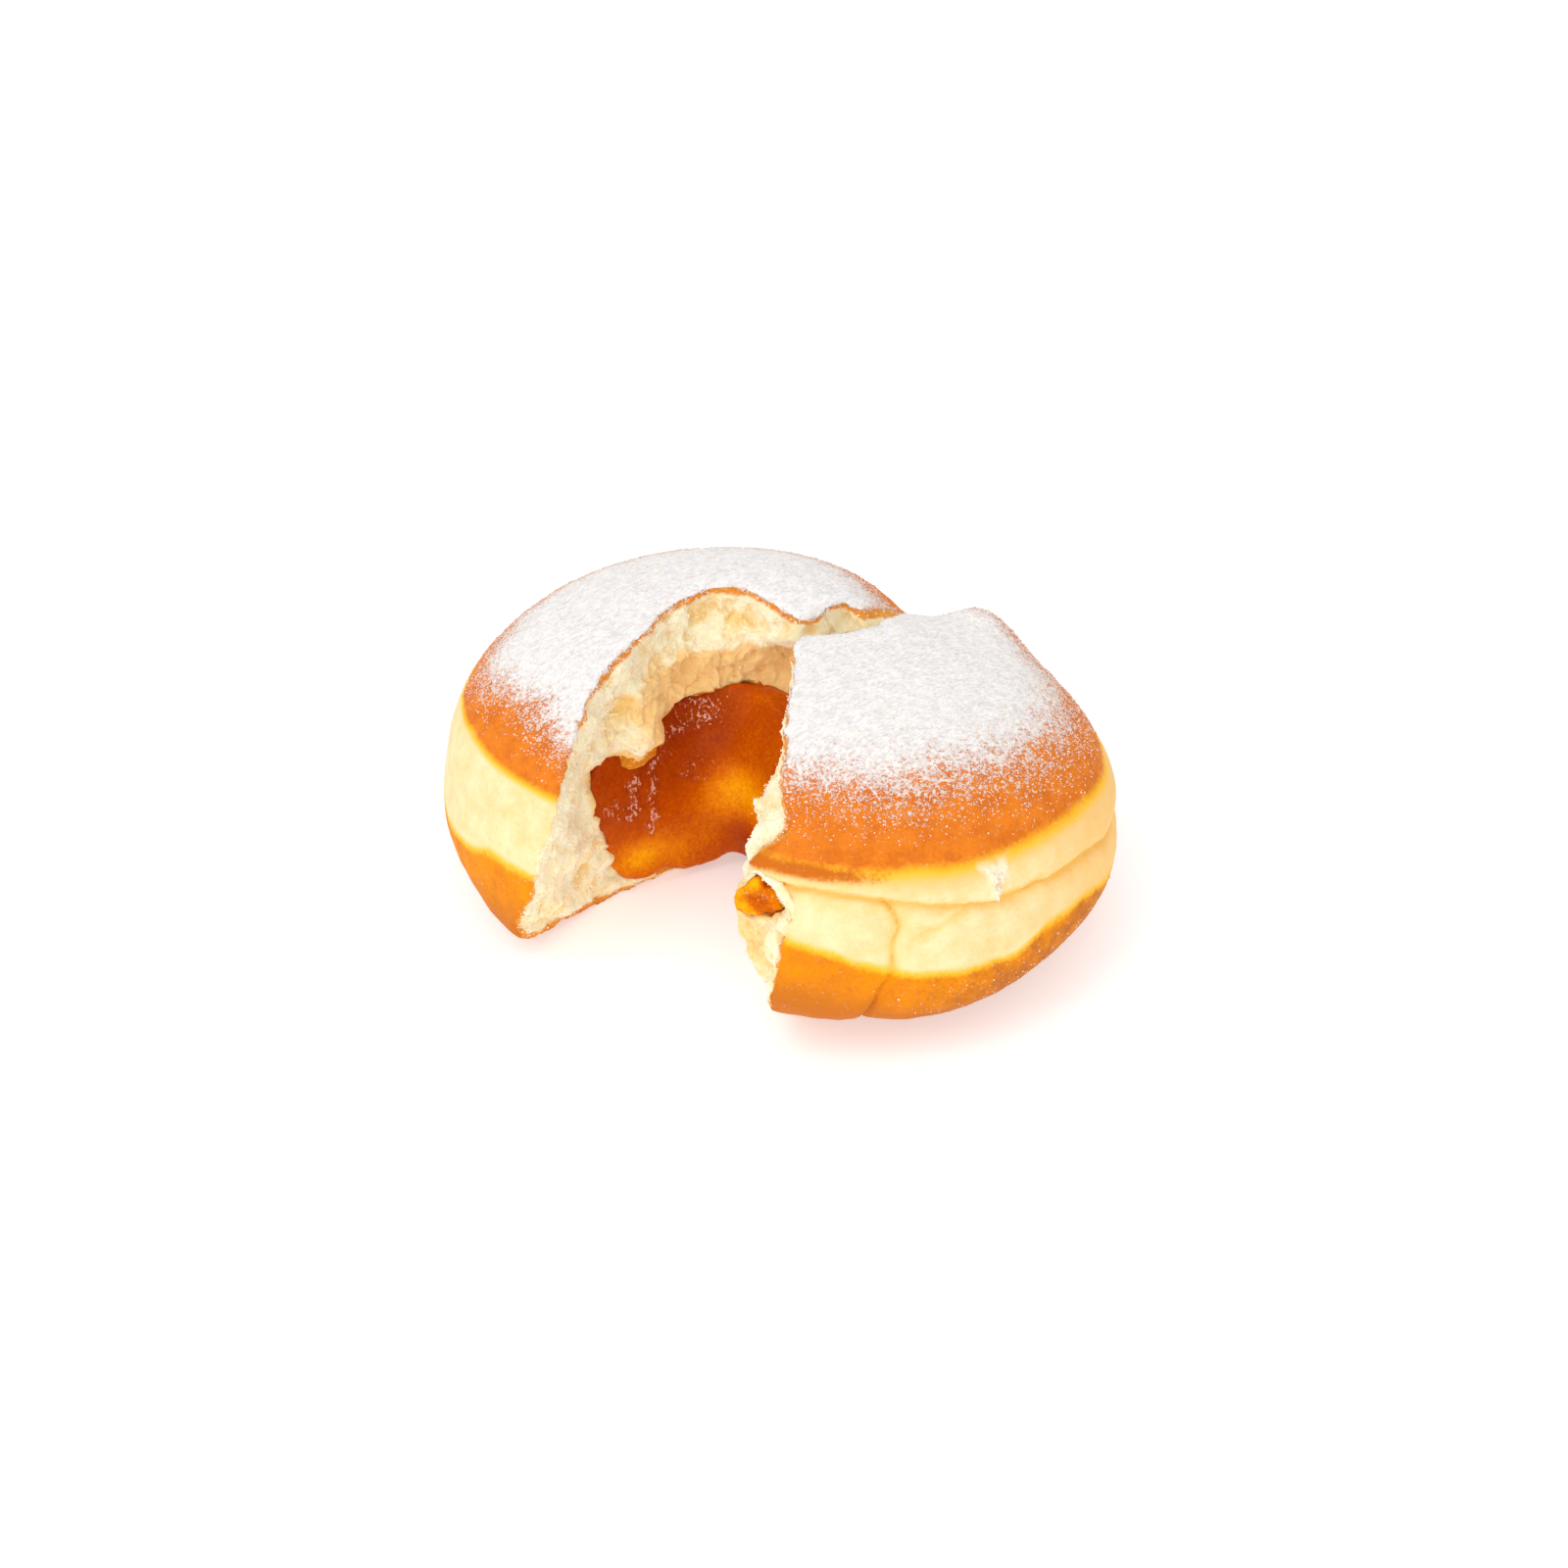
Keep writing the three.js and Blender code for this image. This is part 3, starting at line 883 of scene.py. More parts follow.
def make_lobes(lobes: Iterable[Lobe], grown: float) -> bpy.types.Object:
    """Joins lobes into one closed object.

    Args:
        lobes: The lobes to join.
        grown: How far each is grown, in millimetres.

    Returns:
        A closed object.
    """
    whole = None
    for lobe in lobes:
        item = lobe.make(grown)
        whole = combine(whole, item, Join.ADD) if whole else item
    return whole


JELLY_LOBES = (
    Lobe((-9.5, 3, 18), (19.5, 15.5, 14.5), 30),
    Lobe((-28, -4, 20.8), (6.5, 7, 7.2), 30),
    Lobe((-24, -3.5, 11.8), (6.5, 5.0, 8.6), 35),
    Lobe((-14.5, 2.0, 11.0), (11.5, 8.5, 8.8), 25),
    Lobe((8.5, -8, 20), (15.5, 29, 14.5), -24),
    Lobe((6, 4, 18.5), (15, 11, 13), 40),
)
ROOF_LOBES = (Lobe((-6, 6, 36.0), (12, 4.2, 5.4), 10),)
TONGUE = Lobe((-24.3, -1.3, 32.0), (5.6, 4.6, 8.2), 35)
JELLY_FRONT = Tear(
    heights=(0, 8, 15, 24, 32, 42),
    edges=(
        ((-42, -17), (-31, -9.8), (-24.6, -5.4), (-14, 0.2), (-7, 0.5), (-4, -7), (-3.2, -20),
         (-5, -44)),
        ((-44, -18), (-31.5, -10.3), (-24.8, -6.4), (-15, -1.2), (-7, -1), (-3.5, -9), (-3.2, -20),
         (-6, -44)),
        ((-44, -18), (-31.5, -10.5), (-25, -6), (-15, -1), (-6.8, -1), (-3.2, -9), (-3.2, -20),
         (-6, -44)),
        ((-44, -17), (-31, -9.5), (-24, -3), (-15, 2.5), (-6.5, 2), (-2.6, -7), (-3.4, -20), (-6, -44)),
        ((-42, -12), (-29, -5), (-22, 1.5), (-14, 7.5), (-5, 7.5), (0.5, -4), (-2, -20), (-5, -44)),
        ((-40, -6), (-27, 0), (-20, 6), (-12, 13), (-3, 13), (3, 0), (0, -18), (-3, -44)),
    ),
    away=(-60.0, -120.0),
    rough=0.0,
)
PATCH = Lobe((-3.3, -43.4, 28.4), (4.2, 2.9, 2.7))


@dataclass(frozen=True)
class Streak:
    """A patch of the jelly's front with ripples and painted, broken highlights, seen from the front."""

    across: tuple[float, float]
    """Its middle and half width."""
    up: tuple[float, float]
    """Its lowest and highest point."""
    lean: float = 0.0
    strength: float = 1.0

    def measure(self, x: np.ndarray, z: np.ndarray) -> np.ndarray:
        """How strongly each place lies in the patch, 0 to 1.

        Args:
            x: Place of each vertex along X.
            z: Height of each vertex.

        Returns:
            One number for each vertex.
        """
        low, high = self.up
        middle = (low + high) / 2
        wobble = 0.35 * np.sin(1.3 * z + x) + 0.25 * np.sin(2.9 * z)
        sideways = hump(x + wobble - self.lean * (z - middle), *self.across)
        return self.strength * sideways * rise(z, low - 1, low + 1) * (1 - rise(z, high - 1, high + 1))


# Patches of ripples and painted highlights on the jelly's front.
STREAKS = (
    Streak((-21.8, 0.9), (11.0, 24.0), 0.04),
    Streak((-25.1, 1.2), (15.0, 23.5), 0.05),
    Streak((-28.2, 1.1), (16.5, 20.5), -0.2, 0.8),
    Streak((-13.5, 5.0), (26.5, 31.5), 0.0, 0.75),
    Streak((-14.5, 3.5), (18.5, 23.0), 0.3, 0.55),
    Streak((-19.0, 2.0), (23.0, 28.0), 0.3, 0.5),
)


# --------------------------------------------------------------------------- finishes


@dataclass(frozen=True)
class DoughFinish:
    """Fried crust with a pale ring, cream crumb and powdered sugar."""

    top_crust: tuple = tone(231, 130, 36)
    top_deep: tuple = tone(202, 98, 28)
    gold: tuple = tone(253, 190, 50)
    ring: tuple = tone(254, 227, 180)
    ring_deep: tuple = tone(248, 206, 142)
    under_crust: tuple = tone(240, 144, 8)
    under_deep: tuple = tone(198, 112, 32)
    crease_shade: tuple = tone(244, 196, 96)
    crumb: tuple = tone(255, 243, 212)
    crumb_deep: tuple = tone(250, 212, 134)
    stain: tuple = tone(250, 208, 142)
    soaked: tuple = tone(214, 130, 22)
    rim: tuple = tone(226, 148, 58)
    ring_warm: tuple = tone(244, 188, 96)
    curl: tuple = tone(202, 108, 28)
    dull: tuple = tone(160, 88, 42)
    glow: float = 0.09
    """Stands for light that seeps through the airy crumb from all sides."""
    sugar: tuple = tone(252, 251, 250)
    sugar_shade: tuple = tone(226, 223, 220)
    drift_turn: float = 0.75
    """Direction of the fine drifts in the sugar, in radians."""

    def material(self) -> bpy.types.Material:
        """Builds the dough's material.

        Returns:
            A material that reads the numbers stored on the dough.
        """
        graph = Graph("dough_finish")
        depth = graph.attribute("depth")
        fine, medium, broad = graph.cloud(0.6), graph.cloud(3.5), graph.cloud(13.0, 2.0)
        skin = (depth + medium.swing(0.5) + fine.swing(0.5)).band(0.8, 0.35)
        crust = self._crust(graph, broad.swing(2.6) + medium.swing(1.8) + fine.swing(1.3), medium, fine)
        dough = graph.mix(skin, self._crumb(graph, medium, fine, depth), crust)
        cover, haze = self._sugar(graph, skin)
        # Painted shade: the powder greyer along fine drifts, standing for the shade of the sugar's relief.
        drifts = graph.cloud(0.5, 4.0, 0.75, graph.stretched((1.8, 1.0, 1.0), self.drift_turn))
        shades = drifts * 0.75 + graph.cloud(2.0) * 0.25
        powder = graph.mix(shades.band(0.36, 0.62), self.sugar_shade, self.sugar)
        colour = graph.mix(cover, graph.mix(haze, dough, powder), powder)
        bump = {"Normal": graph.bump(self._relief(graph, cover, skin, fine), 0.85, 0.35)}
        glow = {"Emission Color": colour, "Emission Strength": self.glow}
        skin_light = seeping(0.2, (1.0, 0.6, 0.3), 1.0, 0.04)
        crumb_light = seeping(0.8, (1.0, 0.75, 0.5), 1.6, 0.05)
        crust_shader = graph.shader(colour, 0.55 + cover * 0.4, bump | skin_light)
        crumb_shader = graph.shader(colour, 0.95, bump | crumb_light | glow)
        shaders = {0: skin, 1: crumb_shader, 2: crust_shader}
        return graph.finish(graph.node("ShaderNodeMixShader", {}, shaders))

    def _crust(self, graph: Graph, cloud: Shade, medium: Shade, fine: Shade) -> Shade:
        """Colour of the skin: brown top, pale ring, brown underside, deeper in its folds and crack partly as
        painted shade, and duller, warmer and darker at the right side partly as painted shade.

        Args:
            graph: The material's nodes.
            cloud: Unevenness of the browning's edges.
            medium: Cloud of middling waves.
            fine: Cloud of fine waves.

        Returns:
            A colour.
        """
        top = graph.attribute("top") + cloud * 0.5
        low = graph.attribute("low") + cloud * 0.6
        mottle = (medium * 0.6 + fine * 0.4).band(0.35, 0.68)
        ring = graph.mix((medium * 0.7 + fine * 0.3).band(0.75, 0.25), self.ring, self.ring_deep)
        # Painted shade in the folds and crack, partly the crease's own deeper tone.
        ring = graph.mix(graph.attribute("mark"), ring, self.crease_shade)
        brown = graph.mix(mottle * 0.7, self.top_crust, self.top_deep)
        under = graph.mix(low.band(2.0, 12.0), self.under_crust, self.under_deep)
        under = graph.mix(mottle * 0.6, under, self.under_deep)
        # Warmer ring on the lip, and at the right side partly painted shade.
        ring = graph.mix(graph.attribute("warm"), ring, self.ring_warm)
        colour = graph.mix(top.band(-1.6, 0.1), ring, self.gold)
        colour = graph.mix(top.band(-0.3, 1.4), colour, brown)
        curled = graph.attribute("curl") * 1.1 + medium.swing(0.7) + fine.swing(0.6)
        colour = graph.mix(curled.band(0.25, 0.95), colour, self.curl)
        colour = graph.mix(low.band(-1.2, 0.1), colour, self.gold)
        colour = graph.mix(low.band(-0.2, 1.2), colour, under)
        # Duller, darker brown low on the right side: partly the crust's own tone, partly painted shade.
        dulling = graph.attribute("dry") * (0.2 + mottle * 0.5) * low.band(-0.6, 2.5)
        colour = graph.mix(dulling, colour, self.dull)
        return graph.mix(graph.attribute("chip"), colour, self.crumb)

    def _crumb(self, graph: Graph, medium: Shade, fine: Shade, depth: Shade) -> Shade:
        """Colour of the torn dough: cream, deeper in its folds and pores partly as painted shade, stained
        beside the jelly.

        Args:
            graph: The material's nodes.
            medium: Cloud of middling waves.
            fine: Cloud of fine waves.
            depth: Depth below the skin.

        Returns:
            A colour.
        """
        wet = graph.attribute("wet")
        stained = wet.maximum(graph.attribute("stain") * 0.75)
        browned = graph.attribute("top").band(-0.8, 0.4).maximum(graph.attribute("low").band(0.0, 1.0))
        airy = graph.cloud(0.45, 5.0, 0.75).swing(1.5)
        # Deeper cream in folds, pores and hollows: partly the crumb's own tone, partly painted shade.
        folds = graph.attribute("fold") * 0.8 + graph.cloud(5.0).swing(1.9) + medium.swing(0.6) + airy
        colour = graph.mix(folds.band(0.05, 1.2), self.crumb, self.crumb_deep)
        rim = (depth + fine.swing(0.7)).band(1.8, 1.1)
        colour = graph.mix(rim * browned, colour, self.rim)
        tanned = (stained + medium.swing(0.6) + fine.swing(0.4)).band(0.15, 0.75)
        colour = graph.mix(tanned, colour, self.stain)
        return graph.mix((wet + fine.swing(0.3)).band(0.9, 1.0), colour, self.soaked)

    def _sugar(self, graph: Graph, skin: Shade) -> tuple[Shade, Shade]:
        """Where powdered sugar covers the skin, and how much fine dust lies between.

        Args:
            graph: The material's nodes.
            skin: Where there is skin.

        Returns:
            How far sugar covers each place, and how much dust lies on it.
        """
        density = graph.attribute("sugar")
        chance = graph.cells(0.5) * 0.5 + graph.cells(0.27) * 0.5
        clumps = graph.cloud(1.7, 4.0, 0.6).swing(0.75) + graph.cloud(6.0, 2.0).swing(0.35)
        inside = (density * 5.0).band(0.0, 1.0)
        wanted = density + clumps * inside * (1.25 - density)
        cover = (wanted * 1.02 - chance).band(-0.13, 0.13) * (0.66 + density.band(0.1, 0.8) * 0.27)
        return cover * skin, wanted.band(0.3, 1.3) * skin * 0.55

    def _relief(self, graph: Graph, cover: Shade, skin: Shade, fine: Shade) -> Shade:
        """Fine relief of sugar, crust and crumb.

        Args:
            graph: The material's nodes.
            cover: How far sugar covers each place.
            skin: Where there is skin.
            fine: Cloud of fine waves.

        Returns:
            A height.
        """
        drift = graph.cloud(1.7, 4.0, 0.6, graph.stretched((3.2, 1.0, 1.0), self.drift_turn))
        powder = cover * (drift * 3.2 + graph.cloud(0.35) * 0.3 + 0.25)
        fibres = graph.cloud(0.75, 6.0, 0.78)
        wrinkles = graph.cloud(2.6, spot=graph.stretched((2.4, 2.4, 1.0)))
        return powder + (1.0 - skin) * fibres * 1.3 + skin * (1.0 - cover) * (fine * 0.12 + wrinkles * 0.8)


@dataclass(frozen=True)
class JellyFinish:
    """Wet apricot jelly, deep where it is thick and bright where it thins, with painted shade high up,
    painted light low down and painted highlights.
    """

    darkest: tuple = tone(158, 56, 8)
    deep: tuple = tone(190, 80, 2)
    middle: tuple = tone(226, 126, 2)
    bright: tuple = tone(252, 186, 6)
    glint: tuple = tone(240, 190, 172)

    def material(self) -> bpy.types.Material:
        """Builds the jelly's material.

        Returns:
            A material that reads the thinness with painted light and shade, and the painted highlights,
            stored on the jelly.
        """
        graph = Graph("jelly_finish")
        ripples_and_glints = graph.attribute("ripples_and_glints")
        # Jelly colour from dark to bright by thinness together with painted light and shade
        thin_and_lit = graph.attribute("thin_and_lit") + graph.cloud(6.0).swing(0.4) + graph.cloud(0.6, 4.0, 0.7).swing(0.75)
        stops = ((0.0, self.darkest), (0.33, self.deep), (0.66, self.middle), (1.0, self.bright))
        streaks = graph.cloud(0.55, 5.0, 0.7, graph.stretched((1.0, 1.0, 3.0)))
        curls = graph.cloud(1.5, 2.0, 0.5, graph.stretched((1.0, 1.0, 0.6)))
        thread = 1.0 - curls.swing(7.0).math("ABSOLUTE")
        broken = (thread * 0.55 + ripples_and_glints * 0.6 + streaks.swing(2.6)).band(0.86, 1.12) * ripples_and_glints.band(0.1, 0.5)
        # Painted highlights: the pale glint colour mixed into the jelly's colour along broken streaks.
        colour = graph.mix(broken * 0.8, graph.ramp(thin_and_lit, stops), self.glint)
        bump = {"Normal": graph.bump(streaks * (ripples_and_glints * 1.2 + 0.1), 0.8, 0.5)}
        coat = {"Coat Weight": broken, "Coat Roughness": 0.08}
        light = seeping(0.25, (1.0, 0.3, 0.03), 2.0, 0.04)
        return graph.finish(graph.shader(colour, 0.2, bump | light | coat))


@dataclass(frozen=True)
class PlainFinish:
    """A single colour broken up by a cloud, for grains of sugar and bits of crumb."""

    name: str
    light: tuple
    dark: tuple
    size: float
    """Width of the cloud's waves in millimetres."""
    rough: float = 0.9
    gloss: float = 0.2

    def material(self) -> bpy.types.Material:
        """Builds the material."""
        graph = Graph(self.name)
        colour = graph.mix(graph.cloud(self.size).band(0.3, 0.7), self.dark, self.light)
        return graph.finish(graph.shader(colour, self.rough, {"Specular IOR Level": self.gloss}))


GRAIN_FINISH = PlainFinish("grain_finish", tone(244, 233, 224), tone(230, 210, 196), 1.0)
BIT_FINISH = PlainFinish("bit_finish", tone(255, 246, 226), tone(250, 222, 164), 2.0)


# --------------------------------------------------------------------------- the pieces


def ship(
    item: bpy.types.Object, name: str, material: bpy.types.Material, nodes: tuple[str, ...]
) -> None:
    """Moves a finished piece to the part's frame, dresses it and hands it over.

    Args:
        item: The piece, in millimetres where the halves are laid out.
        name: Its name.
        material: Its finish.
        nodes: The CAD nodes it stands for.
    """
    item.name = name
    item.data.name = name
    place(item.data, (corners(item.data) + SHIFT) * MM)
    item.data.materials.clear()
    item.data.materials.append(material)
    for polygon in item.data.polygons:
        polygon.use_smooth = bool(nodes)
    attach(item, "root")
    for node in nodes:
        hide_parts(node)
    LOG.info("%s: %d faces", name, len(item.data.polygons))


NEVER, EVER = (-9000.0, -8000.0), (8000.0, 9000.0)
"""Fades that lie past everything, for a side on which a zone has no end."""


@dataclass(frozen=True)
class Zone:
    """A part of the doughnut, by the fades at its start and at its end along X, Y and Z."""

    x: tuple = (NEVER, EVER)
    y: tuple = (NEVER, EVER)
    z: tuple = (NEVER, EVER)

    def share(self, places: np.ndarray) -> np.ndarray:
        """How far each place lies in the zone, 0 to 1."""
        shares = (between(row, *ends) for row, ends in zip(places.T, (self.x, self.y, self.z)))
        return math.prod(shares)


# The roof of the hollow over the jelly: its plain ends and its wavy ones.
ROOF = Zone(x=(NEVER, (6, 10)), z=((25, 31), EVER))
ROOF_EDGE = Zone(x=((-29, -22), EVER), y=((-9, -3), EVER), z=(NEVER, (38, 42)))
# The strip of crumb below the jelly that is wet with it.
SEEP = Zone(x=((-26, -21), (0, 4)), y=((-9, -7), EVER), z=(NEVER, (2.6, 4.2)))
# The torn foot of the left half, which is a little smoother.
FIRM = Zone(x=(NEVER, (-20, -12)), z=(NEVER, (24, 32)))
# Where a little sugar has fallen on the underside's brown.
FALLEN = Zone(x=((8, 26), EVER), y=(NEVER, (-25, -12)), z=((1.5, 4), (14, 20)))


@dataclass(frozen=True)
class Pore:
    """One large pore in the torn dough: where, how wide and how deep."""

    middle: tuple[float, float, float]
    half_sizes: tuple[float, float, float]
    depth: float

    def measure(self, places: np.ndarray) -> np.ndarray:
        """How strongly each place lies in the pore, 0 to 1."""
        away = (places - np.array(self.middle)) / np.array(self.half_sizes)
        uneven = 1 + 0.5 * swirl(places, 2.4, 2, 6.6)
        return np.exp(-((away**2).sum(1) * uneven**2))


PORES = (
    Pore((-12.2, 11.0, 44.5), (3.0, 3.5, 1.5), 1.5),
    Pore((-7.5, 10.5, 43.0), (2.4, 3.0, 1.2), 0.9),
    Pore((-20.0, 3.5, 40.5), (1.8, 2.6, 1.4), 0.9),
    Pore((-26.5, -4.5, 36.5), (1.7, 2.2, 2.4), 0.9),
    Pore((-30.5, -12.5, 38.0), (1.2, 2.0, 1.8), 0.7),
    Pore((-35.5, -19.5, 17.5), (1.8, 2.4, 1.6), 0.9),
    Pore((-38.5, -25.5, 9.0), (1.6, 2.2, 2.2), 0.9),
    Pore((-32.5, -13.5, 9.5), (2.2, 2.2, 1.4), 0.9),
    Pore((-5.5, -45.0, 21.0), (1.6, 1.8, 1.6), 1.1),
    Pore((-3.2, -47.5, 14.5), (1.3, 1.8, 1.4), 0.9),
)


@dataclass
class Dough:
    """Both torn halves and the dough that still joins them."""

    bun: Bun = field(default_factory=Bun)
    folds: Folds = field(default_factory=Folds)
    square: float = 1.0
    """Width of the mesh's squares before the torn faces are split."""
    gap: float = 0.1
    wet_reach: float = 2.4
    """How far from the jelly the crumb is soaked."""
    bare_skin: tuple[float, float] = (0.3, 1.3)
    """Depths below the skin over which it turns into torn crumb."""
    split_depths: tuple[float, float] = (0.25, 0.6)
    """Depths from which torn faces are split once and twice."""
    sight: tuple[float, float, float] = (0.0, -0.81, 0.59)
    """Towards the side from which the tear is open."""
    curled: tuple = ((-2.25, -2.1), (-1.75, -1.2))
    """Angles of the right half between which the lip's edge is curled and dark."""
    dull_shaded_side: tuple = ((-1.45, -0.9), (1.2, 2.2))
    # Angles between which the underside's brown is duller and darker, partly its own rougher crust and
    # partly painted shade on the side away from the light.
    """Angles between which the underside's brown is dull."""
    warm_lip: tuple = ((-2.1, -1.7), (-0.6, -0.2))
    warm_shaded_side: tuple = ((-1.1, -0.3), (1.2, 2.2))
    # Angles between which the pale ring is warmer on the lip, and warmer and darker at the side away from
    # the light, partly as painted shade.
    """Angles between which the pale ring is warmer on the lip and at the side."""

    def build(self) -> bpy.types.Object:
        """Makes the dough.

        Returns:
            The dough in millimetres, with its numbers for the finish.
        """
        skins = {half: self.bun.make(half) for half in (LEFT, RIGHT)}
        trees = {half: self._tree(item) for half, item in skins.items()}
        hollow = make_lobes((*JELLY_LOBES, *ROOF_LOBES, PATCH), self.gap)
        jelly = self._tree(make_lobes((*JELLY_LOBES, PATCH), 0.0), keep=False)
        left = combine(skins[LEFT], LEFT_TEAR.block(), Join.CUT)
        right = combine(skins[RIGHT], RIGHT_TEAR.block(), Join.CUT)
        dough = combine(combine(left, right, Join.ADD), hollow, Join.CUT)
        dough = combine(dough, TONGUE.make(0.0), Join.ADD)
        dough = combine(dough, self._table(), Join.CUT)
        even_out(dough, self.square)
        self._refine(dough, trees, jelly)
        self._shape(dough, trees, jelly)
        return dough

    @staticmethod
    def _tree(item: bpy.types.Object, keep: bool = True) -> BVHTree:
        """A search tree of an object's surface, which may then be dropped.

        Args:
            item: A closed object.
            keep: Whether the object stays.

        Returns:
            The search tree.
        """
        shape = bmesh.new()
        shape.from_mesh(item.data)
        tree = BVHTree.FromBMesh(shape)
        shape.free()
        if not keep:
            drop(item)
        return tree

    @staticmethod
    def _table() -> bpy.types.Object:
        """A block below the table top, to cut the underside flat."""
        shape = bmesh.new()
        bmesh.ops.create_cube(shape, size=200.0)
        bmesh.ops.translate(shape, verts=shape.verts, vec=(0.0, 0.0, -100.0))
        return from_bmesh("table", shape)

    @staticmethod
    def inside(tree: BVHTree, places: np.ndarray) -> np.ndarray:
        """Distance of each place inside a closed surface, below zero outside it.

        Args:
            tree: Search tree of the surface.
            places: Places in millimetres.

        Returns:
            One distance for each place.
        """
        depths = np.empty(len(places))
        for index, spot in enumerate(places):
            near, normal, _, gap = tree.find_nearest(spot)
            depths[index] = gap if (Vector(spot) - near).dot(normal) < 0 else -gap
        return depths

    def depth(self, trees: dict[Half, BVHTree], places: np.ndarray) -> np.ndarray:
        """How deep each place lies under the nearest skin of either half."""
        depths = np.stack([self.inside(trees[half], places) for half in (LEFT, RIGHT)])
        return np.minimum(np.max(depths, 0), places[:, 2] + 0.2)

    def _refine(self, dough: bpy.types.Object, trees: dict[Half, BVHTree], jelly: BVHTree) -> None:
        """Splits the squares of the torn faces that show and of the skin round the folds.

        Args:
            dough: The dough to change.
            trees: Search trees of the two skins.
            jelly: Search tree of the jelly.
        """
        once, twice = self.split_depths
        for finest in (False, True):
            places = corners(dough.data)
            open_air = -self.inside(jelly, places) > 0.35
            torn = (self.depth(trees, places) > (twice if finest else once)) & open_air
            if finest:
                facing = outward(dough.data) @ np.array(self.sight) > 0.02
                chosen = torn & facing & ((places[:, 0] < 1.0) | (places[:, 1] < -20.0))
            else:
                chosen = torn | (self._folds(places)[1] > 0.12) | (self._chip(places) > 0.02)
            self._split(dough, chosen)

    @staticmethod
    def _split(dough: bpy.types.Object, chosen: np.ndarray) -> None:
        """Halves every edge between two chosen vertices.

        Args:
            dough: The dough to change.
            chosen: Whether each vertex is chosen.
        """
        shape = bmesh.new()
        shape.from_mesh(dough.data)
        shape.verts.ensure_lookup_table()
        edges = [edge for edge in shape.edges if all(chosen[vertex.index] for vertex in edge.verts)]
        bmesh.ops.subdivide_edges(shape, edges=edges, cuts=1, use_grid_fill=True)
        shape.to_mesh(dough.data)
        shape.free()

    def _folds(self, places: np.ndarray) -> tuple[np.ndarray, np.ndarray]:
        """Dents of the right half's skin at each place, and where shade is painted in its folds and crack.
        """
        upright = self.bun.upright(places, RIGHT)
        share = self.right_share(places)
        dent, mark = self.folds.measure(bearing(upright), upright[:, 2], places)
        return dent * share, mark * share

    @staticmethod
    def _crumb(places: np.ndarray, roof: np.ndarray, calm: np.ndarray) -> tuple[np.ndarray, np.ndarray]:
        """Relief of torn crumb.

        Args:
            places: Places in millimetres.
            roof: How far each place lies in the roof of the hollow.
            calm: How rough each place may be, 0 to 1.

        Returns:
            How far each place stands out, and how much it lies in a fold or pore, where the crumb is painted
            deeper, partly its own tone and partly shade in the hollows.
        """
        x, y, z = places.T
        lumps = 0.8 * swirl(places, 8.0, 2, 1.7) + 0.3 * swirl(places, 3.2, 2, 6.3)
        fibres = np.abs(swirl(places, 1.5, 3, 3.9))
        wisps = np.abs(swirl(places, 0.7, 2, 8.1))
        holes = 1 - rise(pits(places, 4.6, 2.2), 0.08, 0.36)
        pores = 1 - rise(pits(places, 1.9, 5.8), 0.08, 0.42)
        foot = (y < -36) & (x < 1) & (z < 33)
        rough = 0.35 * fibres + 0.3 * wisps + 0.9 * holes + (0.1 + 0.55 * roof + 0.5 * foot) * pores
        shares = [pore.measure(places) for pore in PORES]
        hollow = sum(pore.depth * share for pore, share in zip(PORES, shares))
        # Deeper colour in low lumps, fibres, holes and pores: partly painted shade in the hollows.
        deeper_and_shaded = 0.2 - 0.5 * lumps + 0.45 * fibres + 0.6 * holes + 0.2 * pores + 0.8 * np.max(shares, 0)
        return lumps * (1 - 0.35 * roof) - rough * calm - hollow, np.clip(deeper_and_shaded, 0, 1.3)

    def _shape(self, dough: bpy.types.Object, trees: dict[Half, BVHTree], jelly: BVHTree) -> None:
        """Roughens the crumb, folds the skin and stores the numbers for the finish.

        Args:
            dough: The dough to change.
            trees: Search trees of the two skins.
            jelly: Search tree of the jelly.
        """
        mesh = dough.data
        places = corners(mesh)
        x, y, z = places.T
        depth = self.depth(trees, places)
        torn = rise(depth, *self.bare_skin)
        waved = places + 2.0 * swirl(places, 5.0, 3, 13.7)[:, None]
        roof = ROOF.share(places) * ROOF_EDGE.share(waved)
        calm = 1 - 0.4 * FIRM.share(places)
        crumb, deeper_and_shaded = self._crumb(places, roof, calm)
        dent, mark = self._folds(places)
        lift = torn * crumb + (1 - torn) * (0.12 * swirl(places, 3.0, 2, 8.8) - dent)
        lift += self._chip(places) * (0.25 + 0.5 * swirl(places, 1.3, 3, 4.2))
        ground = rise(z, 0.0, 1.5)
        moved = places + outward(mesh) * (lift * ground)[:, None]
        moved += self._ragged(places, 2.0, 0.45) * (rise(depth, 0.1, 0.9) * ground * calm)[:, None]
        moved += self._ragged(places, 6.0, 1.3) * (rise(depth, 0.8, 4.0) * ground)[:, None]
        moved[:, 2] = np.maximum(moved[:, 2], 0.0)
        place(mesh, moved)
        soaked = 1 - rise(-self.inside(jelly, places), 0.0, self.wet_reach)
        seep = SEEP.share(places) * torn * (y < 12)
        tanned = 1.6 * hump(z, 21.0, 7.0) * hump(x, -7.0, 4.4) * (y < -36)
        rows = {"depth": np.maximum(depth, 0.0), "wet": np.maximum(soaked, seep)}
        rows |= {"stain": np.maximum(roof, tanned), "fold": deeper_and_shaded, "mark": mark * (1 - torn)}
        give(mesh, rows | self._skin(places, depth))

    @staticmethod
    def _ragged(places: np.ndarray, size: float, reach: float) -> np.ndarray:
        """How far each torn place is pulled about by waves of the given size."""
        return reach * np.stack([swirl(places, size, 3, seed) for seed in (2.6, 7.2, 11.8)], 1)

